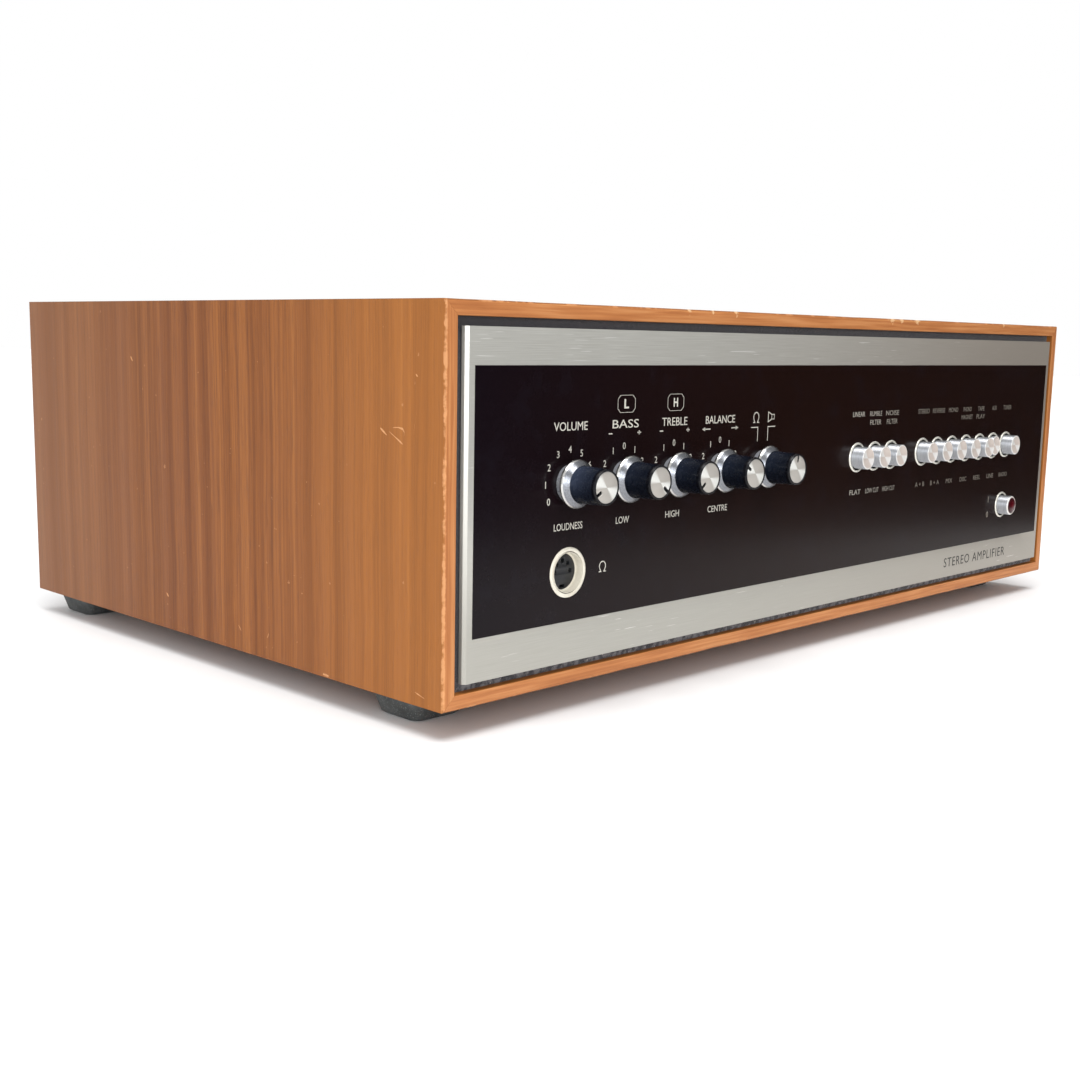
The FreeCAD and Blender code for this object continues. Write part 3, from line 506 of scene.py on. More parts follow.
MATERIALS = {
    "wood_upright": wood("wood_upright", "Z"),
    "wood_level": wood("wood_level", "X"),
    "bare_wood": bare_wood(),
    "felt": felt(),
    "fascia": fascia_metal(),
    "field": printed_black(),
    "ink": printed_ink("legend_ink", (214, 210, 198), (150, 146, 136), (90, 81, 70)),
    "rear_ink": printed_ink("rear_ink", (206, 204, 196), (150, 148, 142), (196, 194, 186)),
    "dark_ink": printed_ink("dark_ink", (38, 36, 36), (70, 66, 62), (34, 30, 28)),
    # Amounts of the knobs' lighter patch, partly dust and partly painted light.
    "knob": knob_plastic("knob_plastic", 0.16),
    "dusty_lit_knob": knob_plastic("dusty_lit_knob_plastic", 0.42),
    "skirt": skirt_metal(),
    "collar": polished("collar_metal", (190, 192, 198), 0.24, 0.6),
    # The first colour of the spun caps and buttons is their painted highlight.
    "cap": spun("cap_spun", (255, 254, 248), (196, 190, 182), 0.36),
    "button": spun("button_spun", (255, 252, 248), (228, 214, 204), 0.34, (214, 216, 220)),
    "bezel": polished("bezel_metal", (240, 236, 224), 0.2, 0.5),
    "lens": lens_red(),
    "shaft": brushed("shaft_steel", (180, 180, 180), (128, 128, 130), 0.3, (1.0, 0.05, 1.0)),
    "ivory": moulded("ivory_moulding", (232, 226, 210), (214, 206, 188), 0.30, 0.4, 0.006, coat=0.3),
    # Dark brown for the ring in the socket's groove: painted shade.
    "groove": moulded("groove_painted_shade", (62, 44, 34), (38, 26, 22), 0.5),
    "socket": moulded("socket_moulding", (30, 31, 34), (18, 18, 21), 0.38, 0.3, 0.01),
    "rubber": moulded("foot_rubber", (84, 87, 86), (54, 57, 57), 0.75, 0.35, 0.05, (122, 126, 124)),
    "screw": brushed("screw_plating", (206, 204, 196), (146, 142, 132), 0.28, (0.6, 0.6, 0.6)),
    "rear_paint": moulded("rear_paint", (92, 93, 96), (85, 86, 89), 0.42, 0.6),
    "sink": brushed("sink_black", (38, 38, 41), (20, 20, 23), 0.42, (1.0, 1.0, 0.03), 0.6),
    "zinc": brushed("passivated_zinc", (190, 188, 168), (150, 150, 136), 0.38, (0.02, 1.0, 1.0)),
    "switch": moulded("switch_moulding", (214, 206, 182), (196, 186, 160), 0.4),
    "board": circuit_board(),
    "core": layered("laminations", {"Roughness": 0.45, "Metallic": 0.6}, (0.5, (0.02, 1.0, 0.02), 1.0),
                    (0.35, (44, 42, 46)), (0.65, (92, 88, 88)), 0.08),
    "winding": layered("winding_tape", {"Roughness": 0.35}, (1.6, (0.05, 0.05, 1.0), 2.0),
                       (0.35, (146, 92, 30)), (0.6, (206, 150, 62)), 0.15),
    "can": brushed("capacitor_sleeve", (70, 100, 150), (48, 74, 120), 0.3, (1.0, 1.0, 0.05), 0.2),
    "transistor": polished("transistor_can", (200, 198, 190), 0.22),
}


# ---------------- shape helpers
def add_object(name, mesh, material, body, replaced=(), origin=None):
    """Puts a finished mesh in the scene as a piece that rides on a body."""
    mesh.materials.clear()
    mesh.materials.append(MATERIALS[material])
    mesh.shade_smooth()
    mesh.set_sharp_from_angle(angle=SHARP_ANGLE)
    piece = bpy.data.objects.new(name, mesh)
    bpy.context.scene.collection.objects.link(piece)
    if origin is not None:
        piece.location = origin
    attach(piece, body)
    if replaced:
        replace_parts(piece, *replaced)
    return piece


def mesh_of(name, bm):
    bmesh.ops.remove_doubles(bm, verts=bm.verts, dist=1e-7)
    bmesh.ops.recalc_face_normals(bm, faces=bm.faces)
    mesh = bpy.data.meshes.new(name)
    bm.to_mesh(mesh)
    bm.free()
    return mesh


def rounded_corner(before, corner, after, cut, steps=4):
    """Points of a small curve in place of a corner, which starts and ends cut away from it."""
    start = corner + (before - corner).normalized() * cut
    end = corner + (after - corner).normalized() * cut
    curve = []
    for step in range(steps + 1):
        t = step / steps
        curve.append((1 - t) ** 2 * start + 2 * t * (1 - t) * corner + t * t * end)
    return curve


def neighbours(points):
    """Each point of a closed loop with the one before and the one after it, as vectors."""
    loop = [Vector(point) for point in points]
    return zip(loop[-1:] + loop[:-1], loop, loop[1:] + loop[:1])


def eased(outline, radius):
    """Closed outline of (proud, radius) corners, each corner off the axis turned into a small curve."""
    result = []
    for before, corner, after in neighbours(outline):
        cut = min(radius, 0.42 * (before - corner).length, 0.42 * (after - corner).length)
        sharp = corner.y < 1e-6 or cut < 1e-4
        result += [corner] if sharp else rounded_corner(before, corner, after, cut)
    return result


def join_rings(bm, ring, following):
    """Faces between two closed rings of vertices. A ring of one vertex is a point on the axis."""
    for index in range(max(len(ring), len(following))):
        corners = []
        for vert in (ring[index % len(ring)], ring[(index + 1) % len(ring)],
                     following[(index + 1) % len(following)], following[index % len(following)]):
            if vert not in corners:
                corners.append(vert)
        if len(corners) > 2:
            bm.faces.new(corners)


def turned(name, outline, place, material, body, replaced=(), ease=0.12, segments=96):
    """Closed solid turned about the Y line through place. The outline's first number is the distance
    in front of place and its second the radius."""
    bm = bmesh.new()
    rings = []
    for proud, radius in eased(outline, ease) if ease else outline:
        turns = [2 * math.pi * index / segments for index in range(1 if radius < 1e-6 else segments)]
        rings.append([bm.verts.new((radius * math.sin(turn) * MM, -proud * MM, radius * math.cos(turn) * MM))
                      for turn in turns])
    for ring, following in zip(rings, rings[1:] + rings[:1]):
        join_rings(bm, ring, following)
    return add_object(name, mesh_of(name, bm), material, body, replaced, place)


def flat_shape(name, loops, thickness, bevel=0.0):
    """Mesh of a flat shape in X and Z with holes, from closed loops of (x, z) millimetres; its back is
    at Y 0 and its face thickness millimetres in front."""
    curve = with_settings(bpy.data.curves.new(name, "CURVE"), dimensions="2D", fill_mode="BOTH",
                          extrude=(thickness / 2 - bevel) * MM, bevel_depth=bevel * MM,
                          offset=-bevel * MM, bevel_resolution=2)
    for loop in loops:
        spline = curve.splines.new("POLY")
        spline.points.add(len(loop) - 1)
        for point, (x, z) in zip(spline.points, loop):
            point.co = (x * MM, z * MM, 0.0, 1.0)
        spline.use_cyclic_u = True
    return standing_mesh(name, curve, thickness)


def standing_mesh(name, curve, thickness):
    """Mesh of a curve or text drawn in its XY plane, stood up to face the front."""
    holder = bpy.data.objects.new(name, curve)
    bpy.context.scene.collection.objects.link(holder)
    bpy.context.view_layer.update()
    mesh = bpy.data.meshes.new_from_object(holder.evaluated_get(bpy.context.evaluated_depsgraph_get()))
    bpy.data.objects.remove(holder)
    mesh.transform(Matrix.Rotation(math.radians(90), 4, "X"))
    mesh.transform(Matrix.Translation((0.0, -thickness / 2 * MM, 0.0)))
    bm = bmesh.new()
    bm.from_mesh(mesh)
    bpy.data.meshes.remove(mesh)
    return mesh_of(name, bm)


def circle(x, z, radius, count=72):
    turns = [2 * math.pi * index / count for index in range(count)]
    return [(x + radius * math.cos(turn), z + radius * math.sin(turn)) for turn in turns]


def rectangle(x0, x1, z0, z1):
    return [(x0, z0), (x1, z0), (x1, z1), (x0, z1)]


def joined_mesh(name, meshes):
    bm = bmesh.new()
    for mesh in meshes:
        bm.from_mesh(mesh)
        bpy.data.meshes.remove(mesh)
    result = bpy.data.meshes.new(name)
    bm.to_mesh(result)
    bm.free()
    return result


def softened(node, width, material, name=None):
    """The node's own shape with its sharp edges eased, standing for the node."""
    source = frame["nodes"][node]
    bm = bmesh.new()
    bm.from_mesh(source.data)
    bmesh.ops.remove_doubles(bm, verts=bm.verts, dist=2e-6)
    bmesh.ops.dissolve_limit(bm, angle_limit=math.radians(1), verts=bm.verts, edges=bm.edges)
    edges = [edge for edge in bm.edges if edge.is_manifold and edge.calc_face_angle(0.0) > math.radians(30)]
    bmesh.ops.bevel(bm, geom=edges, offset=width * MM, offset_type="OFFSET", segments=2, profile=0.6,
                    affect="EDGES", clamp_overlap=True)
    name = name or node + "_finished"
    return add_object(name, mesh_of(name, bm), material, source["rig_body"], (node,))


# ---------------- cabinet
BOARD_T = 8.0
LIP_T = 5.0
REBATE_D = 10.0
CORNER_RADII = (0.9, 0.35, 0.05, 0.3, 0.3, 0.6)
BOARD_STEPS = 140
LONG_SIDE_STEPS = 10
VENEER_INSET = 0.012
MITRE_GAP = 0.04
DENT_REACH = 1.6


def board_outline():
    """Cross-section of a board: (thickness from the outer face, depth from the front)."""
    corners = ((0, 0), (LIP_T, 0), (LIP_T, REBATE_D), (BOARD_T, REBATE_D), (BOARD_T, DEPTH), (0, DEPTH))
    outline = []
    for (before, corner, after), radius in zip(neighbours(corners), CORNER_RADII):
        outline += rounded_corner(before, corner, after, radius)
    outline += [(0.0, DEPTH - DEPTH * step / LONG_SIDE_STEPS) for step in range(1, LONG_SIDE_STEPS)]
    return [(max(thick, VENEER_INSET), deep) for thick, deep in outline]


def cabinet_board(side):
    """One mitred board, its front arris dented a little along its length."""
    level = side in ("top", "bottom")
    length = WIDTH if level else HEIGHT
    dents = random.Random("dents " + side)
    wave = [(dents.uniform(0.02, 0.10), dents.uniform(20, 130), dents.uniform(0, 6.3)) for _ in range(4)]
    bm = bmesh.new()
    rows = []
    for step in range(BOARD_STEPS + 1):
        row = []
        for thick, deep in board_outline():
            mitre = thick + MITRE_GAP
            along = mitre + step / BOARD_STEPS * (length - 2 * mitre)
            near = max(0.0, 1.0 - (thick + deep) / DENT_REACH)
            dent = near * sum(size * max(0.0, math.sin(along / pitch * 6.28 + phase)) ** 6
                              for size, pitch, phase in wave)
            inset = thick + dent
            x, z = {"bottom": (along, inset), "top": (along, HEIGHT - inset), "left": (inset, along),
                    "right": (WIDTH - inset, along)}[side]
            row.append(bm.verts.new(CABINET_LOW + Vector((x, deep + dent, z)) * MM))
        rows.append(row)
    for row, following in zip(rows, rows[1:]):
        join_rings(bm, row, following)
    bm.faces.new(rows[0])
    bm.faces.new(rows[-1][::-1])
    name = side + "_board"
    grain = "wood_level" if level else "wood_upright"
    return add_object(name, mesh_of(name, bm), grain, CASE, ("cabinet_" + side,))


# Pale scratches and chips on the left side: each is a row of (depth, height, width) points.
WOOD_MARKS = (
    ((31.2, 87.4, 0.3), (30.0, 86.7, 0.9), (28.6, 85.8, 0.5), (27.8, 85.3, 0.2)),
    ((26.6, 86.5, 0.15), (23.5, 84.9, 0.3), (20.9, 83.5, 0.7), (20.0, 83.0, 0.3)),
    ((24.8, 87.9, 0.15), (22.0, 88.1, 0.35), (19.9, 87.7, 0.8), (19.1, 86.6, 0.4), (19.4, 85.4, 0.15)),
    ((13.4, 93.8, 0.1), (13.9, 90.5, 0.22), (14.6, 86.7, 0.1)),
    ((13.8, 105.0, 0.2), (13.3, 104.6, 0.7), (12.8, 104.3, 0.2)),
    ((189.6, 106.2, 0.3), (188.7, 105.5, 1.2), (187.9, 104.6, 0.3)),
    ((165.9, 14.2, 0.3), (165.1, 13.6, 1.1), (164.3, 13.0, 0.3)),
    ((114.6, 9.6, 0.2), (113.8, 8.8, 0.6), (112.9, 7.8, 0.2)),
    ((96.0, 8.0, 0.2), (95.4, 8.9, 0.7), (95.0, 9.8, 0.2)),
    ((62.4, 1.0, 0.4), (60.8, 0.9, 0.9), (59.2, 0.8, 0.4)),
    ((13.4, 4.4, 0.1), (11.9, 4.0, 0.4), (8.8, 3.2, 0.1)),
)
MARK_INSET = 0.004


def build_wood_marks():
    bm = bmesh.new()
    for mark in WOOD_MARKS:
        pairs = [[bm.verts.new(CABINET_LOW + Vector((MARK_INSET, depth, height + half)) * MM)
                  for half in (wide / 2, -wide / 2)] for depth, height, wide in mark]
        for (upper, lower), (next_upper, next_lower) in zip(pairs, pairs[1:]):
            bm.faces.new((upper, next_upper, next_lower, lower))
    add_object("wood_marks", mesh_of("wood_marks", bm), "bare_wood", CASE)


FELT_PITCH = 1.2
FELT_NAP = 0.14
FELT_RIM = 0.25
FELT_PAST_LEVEL, FELT_PAST_SIDE = 0.8, 1.7


def felt_strip(name, low, high, seed):
    """Strip of felt with a napped front."""
    nap = random.Random(seed)
    size = high - low
    steps_x, steps_z = (max(4, int(extent / (FELT_PITCH * MM))) for extent in (size.x, size.z))
    bm = bmesh.new()
    bmesh.ops.create_grid(bm, x_segments=steps_x, y_segments=steps_z, size=0.5)
    for vert in bm.verts:
        x = low.x + (vert.co.x + 0.5) * size.x
        z = low.z + (vert.co.y + 0.5) * size.z
        rim = min(x - low.x, high.x - x, z - low.z, high.z - z) < 0.2 * MM
        vert.co = Vector((x, low.y + (FELT_RIM if rim else nap.uniform(0.0, FELT_NAP)) * MM, z))
    rim_edges = [edge for edge in bm.edges if edge.is_boundary]
    walls = bmesh.ops.extrude_edge_only(bm, edges=rim_edges)["geom"]
    for vert in (item for item in walls if isinstance(item, bmesh.types.BMVert)):
        vert.co.y = high.y
    bmesh.ops.holes_fill(bm, edges=[edge for edge in bm.edges if edge.is_boundary])
    return add_object(name, mesh_of(name, bm), "felt", CASE)


def build_felt():
    low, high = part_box("felt_strips")
    inner = (BOARD_T - LIP_T + FELT_PAST_LEVEL) * MM
    side = (BOARD_T - LIP_T + FELT_PAST_SIDE) * MM
    bottom = felt_strip("felt_bottom", low, Vector((high.x, high.y, low.z + inner)), 1)
    felt_strip("felt_top", Vector((low.x, low.y, high.z - inner)), high, 2)
    felt_strip("felt_left", low + Vector((0, 0, inner)), Vector((low.x + side, high.y, high.z - inner)), 3)
    felt_strip("felt_right", Vector((high.x - side, low.y, low.z + inner)), high - Vector((0, 0, inner)), 4)
    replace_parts(bottom, "felt_strips")


FOOT_NAMES = ("foot_front_left", "foot_rear_left", "foot_front_right", "foot_rear_right")
FOOT_TOP = 26.5
FOOT_LEVELS = ((0.0, 17.0, 3.2), (0.15, 19.0, 3.6), (0.8, 20.9, 4.0), (2.0, 21.7, 4.2))
HOLLOW = ((0.0, 4.7), (0.3, 4.4), (5.0, 4.4))


def rounded_square(size, corner, count=8):
    """Points around a rounded square, the same number for every size."""
    half = size / 2 - corner
    points = []
    for quarter, (sx, sy) in enumerate(((1, 1), (-1, 1), (-1, -1), (1, -1))):
        for step in range(count + 1):
            turn = math.pi / 2 * (quarter + step / count)
            points.append((sx * half + corner * math.cos(turn), sy * half + corner * math.sin(turn)))
    return points


def foot_mesh(name, height):
    """Tapered foot with a hollow for its screw. Its levels are (height, width, corner radius)."""
    levels = FOOT_LEVELS + ((height - 0.6, 26.2, 5.0), (height, FOOT_TOP, 5.0))
    bm = bmesh.new()
    rings = [[bm.verts.new((x * MM, y * MM, level * MM)) for x, y in rounded_square(size, corner)]
             for level, size, corner in levels]
    turns = [2 * math.pi * (step + 0.5) / len(rings[0]) for step in range(len(rings[0]))]
    hollow = [[bm.verts.new(Vector((radius * math.cos(turn), radius * math.sin(turn), depth)) * MM)
               for turn in turns] for depth, radius in HOLLOW]
    for ring, following in (*zip(rings, rings[1:]), (hollow[0], rings[0]), *zip(hollow[1:], hollow)):
        join_rings(bm, ring, following)
    bm.faces.new(rings[-1])
    bm.faces.new(hollow[-1])
    return mesh_of(name, bm)


def build_feet():
    low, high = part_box("rubber_feet")
    half = FOOT_TOP / 2 * MM
    places = [(x, y) for x in (low.x + half, high.x - half) for y in (low.y + half, high.y - half)]
    feet = [add_object(name, foot_mesh(name, (high.z - low.z) / MM), "rubber", CASE,
                       origin=Vector((*place, low.z))) for name, place in zip(FOOT_NAMES, places)]
    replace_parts(feet[0], "rubber_feet")


# ---------------- fascia
FIELD = (11.4, 408.6, 22.2, 108.1)
FIELD_THICK = 0.05
KNOB_HOLE, BUTTON_HOLE, SOCKET_HOLE = 4.95, 5.65, 7.70


def build_fascia():
    """Brushed plate with bevelled ends, and the printed field with its holes a hair in front of it."""
    softened("fascia_plate", 0.15, "fascia", "fascia")
    holes = [(knob + "_knob", KNOB_HOLE) for knob in KNOBS]
    holes += [(button, BUTTON_HOLE) for button in BUTTONS + ("power_button",)]
    holes.append(("headphone_ring", SOCKET_HOLE))
    loops = [rectangle(*FIELD)] + [circle(*panel_mm(node), radius) for node, radius in holes]
    field = flat_shape("black_field", loops, FIELD_THICK)
    add_object("black_field", field, "field", CASE, origin=on_panel(0, 0))


# ---------------- knobs
# Outlines of turned pieces are (distance in front of the panel or of the piece's face, radius).
COLLAR = ((0, 4.85), (0, 6.25), (2.1, 6.25), (2.6, 5.8), (2.6, 4.85))
SLEEVE = ((3.1, 3.05), (3.1, 6.28), (6.4, 6.22), (16.3, 6.0), (17.1, 5.75), (17.1, 5.35), (16.55, 5.3),
          (16.3, 0.0), (14.0, 0.0), (14.0, 3.05))
SKIRT = ((3.1, 6.33), (3.1, 7.9), (3.4, 8.2), (4.0, 8.2), (4.35, 8.0), (4.75, 7.72), (5.6, 6.9), (6.1, 6.45),
         (6.3, 6.33))
CAP_BACK, CAP_THICK, CAP_BEVEL, CAP_RADIUS = 16.3, 0.6, 0.12, 5.22
NOTCH_HALF, NOTCH_ROOT = 0.68, 3.2
CAP_ARC_STEPS, NOTCH_STEPS = 88, 8
POINTERS = {"volume": -120.0, "bass": 130.0, "treble": -130.0, "balance": -60.0, "output": 4.0}


def build_knob(knob):
    place = in_front(knob + "_knob")
    body = knob + "_control"
    # The volume knob's body gets the stronger lighter patch, partly dust and partly painted light.
    plastic = "dusty_lit_knob" if knob == "volume" else "knob"
    turned(knob + "_collar", COLLAR, place, "collar", CASE)
    turned(knob + "_knob_body", SLEEVE, place, plastic, body, (knob + "_knob",), ease=0.25)
    turned(knob + "_skirt", SKIRT, place, "skirt", body, (knob + "_knob_skirt",), ease=0.2)
    add_object(knob + "_cap", knob_cap_mesh(knob), "cap", body, (knob + "_knob_cap",),
               place - Vector((0, CAP_BACK * MM, 0)))


def knob_cap_mesh(knob):
    """Thin disc whose rim is broken by a round-ended notch at the pointer's angle, clockwise from the top."""
    mouth = math.asin(NOTCH_HALF / CAP_RADIUS)
    turns = [mouth + (2 * math.pi - 2 * mouth) * step / CAP_ARC_STEPS for step in range(CAP_ARC_STEPS + 1)]
    loop = [(CAP_RADIUS * math.sin(turn), CAP_RADIUS * math.cos(turn)) for turn in turns]
    turns = [math.pi * step / NOTCH_STEPS for step in range(NOTCH_STEPS + 1)]
    loop += [(-NOTCH_HALF * math.cos(turn), NOTCH_ROOT - NOTCH_HALF * math.sin(turn)) for turn in turns]
    angle = -math.radians(POINTERS[knob])
    cos, sin = math.cos(angle), math.sin(angle)
    loop = [(x * cos - z * sin, x * sin + z * cos) for x, z in loop]
    return flat_shape(knob + "_cap", [loop], CAP_THICK, CAP_BEVEL)


# ---------------- buttons
ROD = ((-8.0, 2.0), (-30.6, 2.0), (-30.6, 0.0))
BUTTON = ((-0.42, 0.0), (-0.40, 2.0), (-0.12, 3.95), (0.0, 4.25), (-0.2, 4.65), (-8.0, 4.65)) + ROD
GUIDE = ((0.1, 5.25), (0.1, 5.38), (0.0, 5.6), (-2.5, 5.6), (-2.5, 5.25))
BEZEL = ((0.3, 5.40), (0.6, 5.50), (0.6, 6.05), (0.3, 6.35), (0.05, 6.35), (0.05, 5.40))
POWER_CAP = ((-1.5, 0.0), (-1.5, 3.84), (-0.15, 3.86), (0.0, 4.0), (-0.08, 4.25), (-0.45, 4.65),
             (-8.0, 4.65)) + ROD
LENS_RADIUS, LENS_EDGE, LENS_RISE = 3.82, -0.2, 0.95


def build_bezel(node):
    """Satin rim on the panel, and the black guide that lines the hole behind it."""
    name = node + "_bezel"
    turned(name + "_guide", GUIDE, in_front(node), "socket", CASE, ease=0.05)
    return turned(name, BEZEL, in_front(node), "bezel", CASE, ease=0.1)


def build_buttons():
    for node in BUTTONS:
        place = in_front(node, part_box(node)[0].y)
        key = node.replace("button", "key")
        turned(node + "_cap", BUTTON, place, "button", key, (node,), ease=0.14)
        build_bezel(node)
    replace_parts(build_bezel("power_button"), "button_bezels")
    place = in_front("power_button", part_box("power_button")[0].y)
    turned("power_cap", POWER_CAP, place, "button", "power_key", ("power_button",))
    turns = [math.radians(degrees) for degrees in range(15, 90, 15)]
    dome = [(-1.49, 0.0), (-1.49, LENS_RADIUS), (LENS_EDGE, LENS_RADIUS)]
    dome += [(LENS_EDGE + LENS_RISE * math.sin(turn), LENS_RADIUS * math.cos(turn)) for turn in turns]
    dome += [(LENS_EDGE + LENS_RISE, 0.0)]
    turned("power_window", dome, place, "lens", "power_key", ("power_lens",), ease=0.0)


# ---------------- headphone socket
SOCKET_RING = ((0.62, 7.2), (0.7, 8.1), (0.35, 8.6), (0.0, 8.6), (0.0, 7.6), (-11.0, 7.6), (-11.0, 6.2),
               (-2.3, 6.2), (-2.3, 6.75), (-0.25, 6.75), (-0.25, 7.2))
# A dark brown ring filling the groove between the ring and its lip: painted shade.
SOCKET_SHADE_RING = ((0.12, 6.96), (0.12, 7.18), (-0.22, 7.18), (-0.22, 6.96))
SOCKET_LIP = ((0.42, 6.77), (0.46, 6.86), (0.42, 6.94), (-0.22, 6.94), (-0.22, 6.77))
INSERT_RADIUS, INSERT_FACE = 6.17, 3.0
INSERT_BACK = ((0.0, 0.0), (0.0, INSERT_RADIUS), (-5.8, INSERT_RADIUS), (-5.8, 0.0))
KEYWAY = (-1.2, 1.2, -5.5, -4.5)
PIN_CIRCLE, PIN_HOLE = 3.75, 0.85
CONTACT = ((0.0, 0.45), (1.6, 0.45), (1.6, 0.7), (0.0, 0.7))


def build_headphone_socket():
    place = in_front("headphone_ring")
    turned("socket_ring", SOCKET_RING, place, "ivory", CASE, ("headphone_ring",), ease=0.18)
    # Painted shade: dark brown ring in the groove.
    turned("socket_groove", SOCKET_SHADE_RING, place, "groove", CASE, ease=0.0)
    turned("socket_lip", SOCKET_LIP, place, "ivory", CASE, ease=0.05)
    turns = [math.radians(-90 + 45 * step) for step in range(5)]
    pins = [(PIN_CIRCLE * math.sin(turn), PIN_CIRCLE * math.cos(turn)) for turn in turns]
    loops = [circle(0, 0, INSERT_RADIUS, 96), *(circle(x, z, PIN_HOLE, 28) for x, z in pins)]
    loops.append(rectangle(*KEYWAY))
    face_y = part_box("headphone_insert")[0].y
    place.y = face_y + INSERT_FACE * MM
    face = flat_shape("socket_face", loops, INSERT_FACE, 0.08)
    add_object("socket_face", face, "socket", CASE, ("headphone_insert",), place)
    behind = place + Vector((0, 0.02, 0)) * MM
    turned("socket_back", INSERT_BACK, behind, "socket", CASE, ease=0.1)
    for number, (x, z) in enumerate(pins, 1):
        turned("socket_contact_%d" % number, CONTACT, place + Vector((x, 0, z)) * MM, "bezel", CASE,
               ease=0.05, segments=32)


# ---------------- legends
INK_PROUD = 0.05
INK_THICK = 0.02
CAPITAL_HEIGHT = 0.72


def lettering(text, height, width=None, spacing=1.0, offset=0.0):
    """Mesh of a word, centred on its middle, height millimetres tall and, if given, width wide."""
    curve = with_settings(bpy.data.curves.new("lettering", "FONT"), body=text, align_x="CENTER",
                          align_y="CENTER", size=height * MM / CAPITAL_HEIGHT, space_character=spacing,
                          offset=offset * MM, extrude=INK_THICK / 2 * MM, resolution_u=3)
    mesh = standing_mesh("lettering", curve, INK_THICK)
    xs = [vert.co.x for vert in mesh.vertices]
    zs = [vert.co.z for vert in mesh.vertices]
    stretch = width * MM / (max(xs) - min(xs)) if width else 1.0
    mesh.transform(Matrix.Translation((-(max(xs) + min(xs)) / 2, 0, -(max(zs) + min(zs)) / 2)))
    mesh.transform(Matrix.Diagonal((stretch, 1.0, height * MM / (max(zs) - min(zs)), 1.0)))
    return mesh


def placed(mesh, x=0, z=0):
    mesh.transform(Matrix.Translation(on_panel(x, z, INK_PROUD)))
    return mesh


def stroke(points, width):
    """Mesh of a line of constant width through (x, z) points on the panel."""
    path = [Vector(point) for point in points]
    left, right = [], []
    for index, point in enumerate(path):
        before = path[max(index - 1, 0)]
        after = path[min(index + 1, len(path) - 1)]
        incoming = (point - before).normalized() if index else (after - point).normalized()
        outgoing = (after - point).normalized() if index < len(path) - 1 else incoming
        direction = (incoming + outgoing).normalized()
        reach = width / 2 / max(0.5, abs(direction.dot(outgoing)))
        across = Vector((-direction.y, direction.x)) * reach
        left.append(point + across)
        right.append(point - across)
    return placed(flat_shape("stroke", [left + right[::-1]], INK_THICK))


def ring_stroke(points, width):
    """Closed line of constant width around a convex outline."""
    points = [Vector(point) for point in points]
    centre = sum(points, Vector((0, 0))) / len(points)
    loops = [[centre + (point - centre) * (1 + grow / (point - centre).length) for point in points]
             for grow in (width / 2, -width / 2)]
    return placed(flat_shape("ring", loops, INK_THICK))


THIN, LINE, SIGN = 0.2, 0.35, 0.4
DIGIT_H, DIGIT_RING, DIGIT_STEP = 2.3, 11.3, 30.0
VOLUME_START = -120.0
# Words over and under the knobs, with their left and right ends.
OVER_KNOBS = (("VOLUME", 46.5, 62.7), ("BASS", 75.2, 88.9), ("TREBLE", 101.6, 115.8),
              ("BALANCE", 126.7, 144.5))
UNDER_KNOBS = (("LOUDNESS", 47.4, 61.2), ("LOW", 78.2, 85.1), ("HIGH", 105.0, 112.8),
               ("CENTRE", 129.7, 141.6))
SIGN_Z, ARROW_Z = 84.9, 84.7


def scale_digits(knob, places):
    """Figures around a knob, from pairs of a figure and its angle clockwise from the top."""
    x, z = panel_mm(knob + "_knob")
    meshes = []
    for value, angle in places:
        right, up = DIGIT_RING * math.sin(math.radians(angle)), DIGIT_RING * math.cos(math.radians(angle))
        meshes.append(placed(lettering(str(value), DIGIT_H), x + right, z + up))
    return meshes


def knob_legends():
    meshes = scale_digits("volume", [(value, VOLUME_START + DIGIT_STEP * value) for value in range(9)])
    for knob in ("bass", "treble", "balance"):
        meshes += scale_digits(knob, [(abs(value), DIGIT_STEP * value) for value in range(-4, 5)])
    for words, height, z in ((OVER_KNOBS, 2.9, 88.1), (UNDER_KNOBS, 2.4, 54.7)):
        meshes += [placed(lettering(text, height, x1 - x0), (x0 + x1) / 2, z) for text, x0, x1 in words]
    for x in (81.5, 108.6):
        meshes += [stroke(((x - 8.2, SIGN_Z), (x - 6.3, SIGN_Z)), SIGN),
                   stroke(((x + 6.8, SIGN_Z), (x + 8.7, SIGN_Z)), SIGN),
                   stroke(((x + 7.75, SIGN_Z - 0.7), (x + 7.75, SIGN_Z + 0.7)), SIGN)]
    for tip, tail in ((124.7, 129.6), (146.8, 142.4)):
        side = 1.0 if tail > tip else -1.0
        base = tip + side * 1.7
        meshes.append(stroke(((tip + side, ARROW_Z), (tail, ARROW_Z)), LINE))
        head = [(tip, ARROW_Z), (base, ARROW_Z + 0.7), (base, ARROW_Z - 0.7)]
        meshes.append(placed(flat_shape("arrow", [head], INK_THICK)))
    return meshes


BADGES = ((82.2, "L"), (108.9, "H"))
BADGE_Z, BADGE_W, BADGE_H, BADGE_CUT = 94.95, 4.5, 2.95, 1.3


def badge_legends():
    """Eight-sided frames with one bold letter, over the two tone controls."""
    w, h, cut_w, cut_h = BADGE_W, BADGE_H, BADGE_W - BADGE_CUT, BADGE_H - BADGE_CUT
    corners = ((-cut_w, -h), (cut_w, -h), (w, -cut_h), (w, cut_h),
               (cut_w, h), (-cut_w, h), (-w, cut_h), (-w, -cut_h))
    meshes = []
    for x, letter in BADGES:
        meshes.append(ring_stroke([(x + across, BADGE_Z + up) for across, up in corners], THIN))
        meshes.append(placed(lettering(letter, 3.2, 2.4, offset=0.12), x, BADGE_Z))
    return meshes


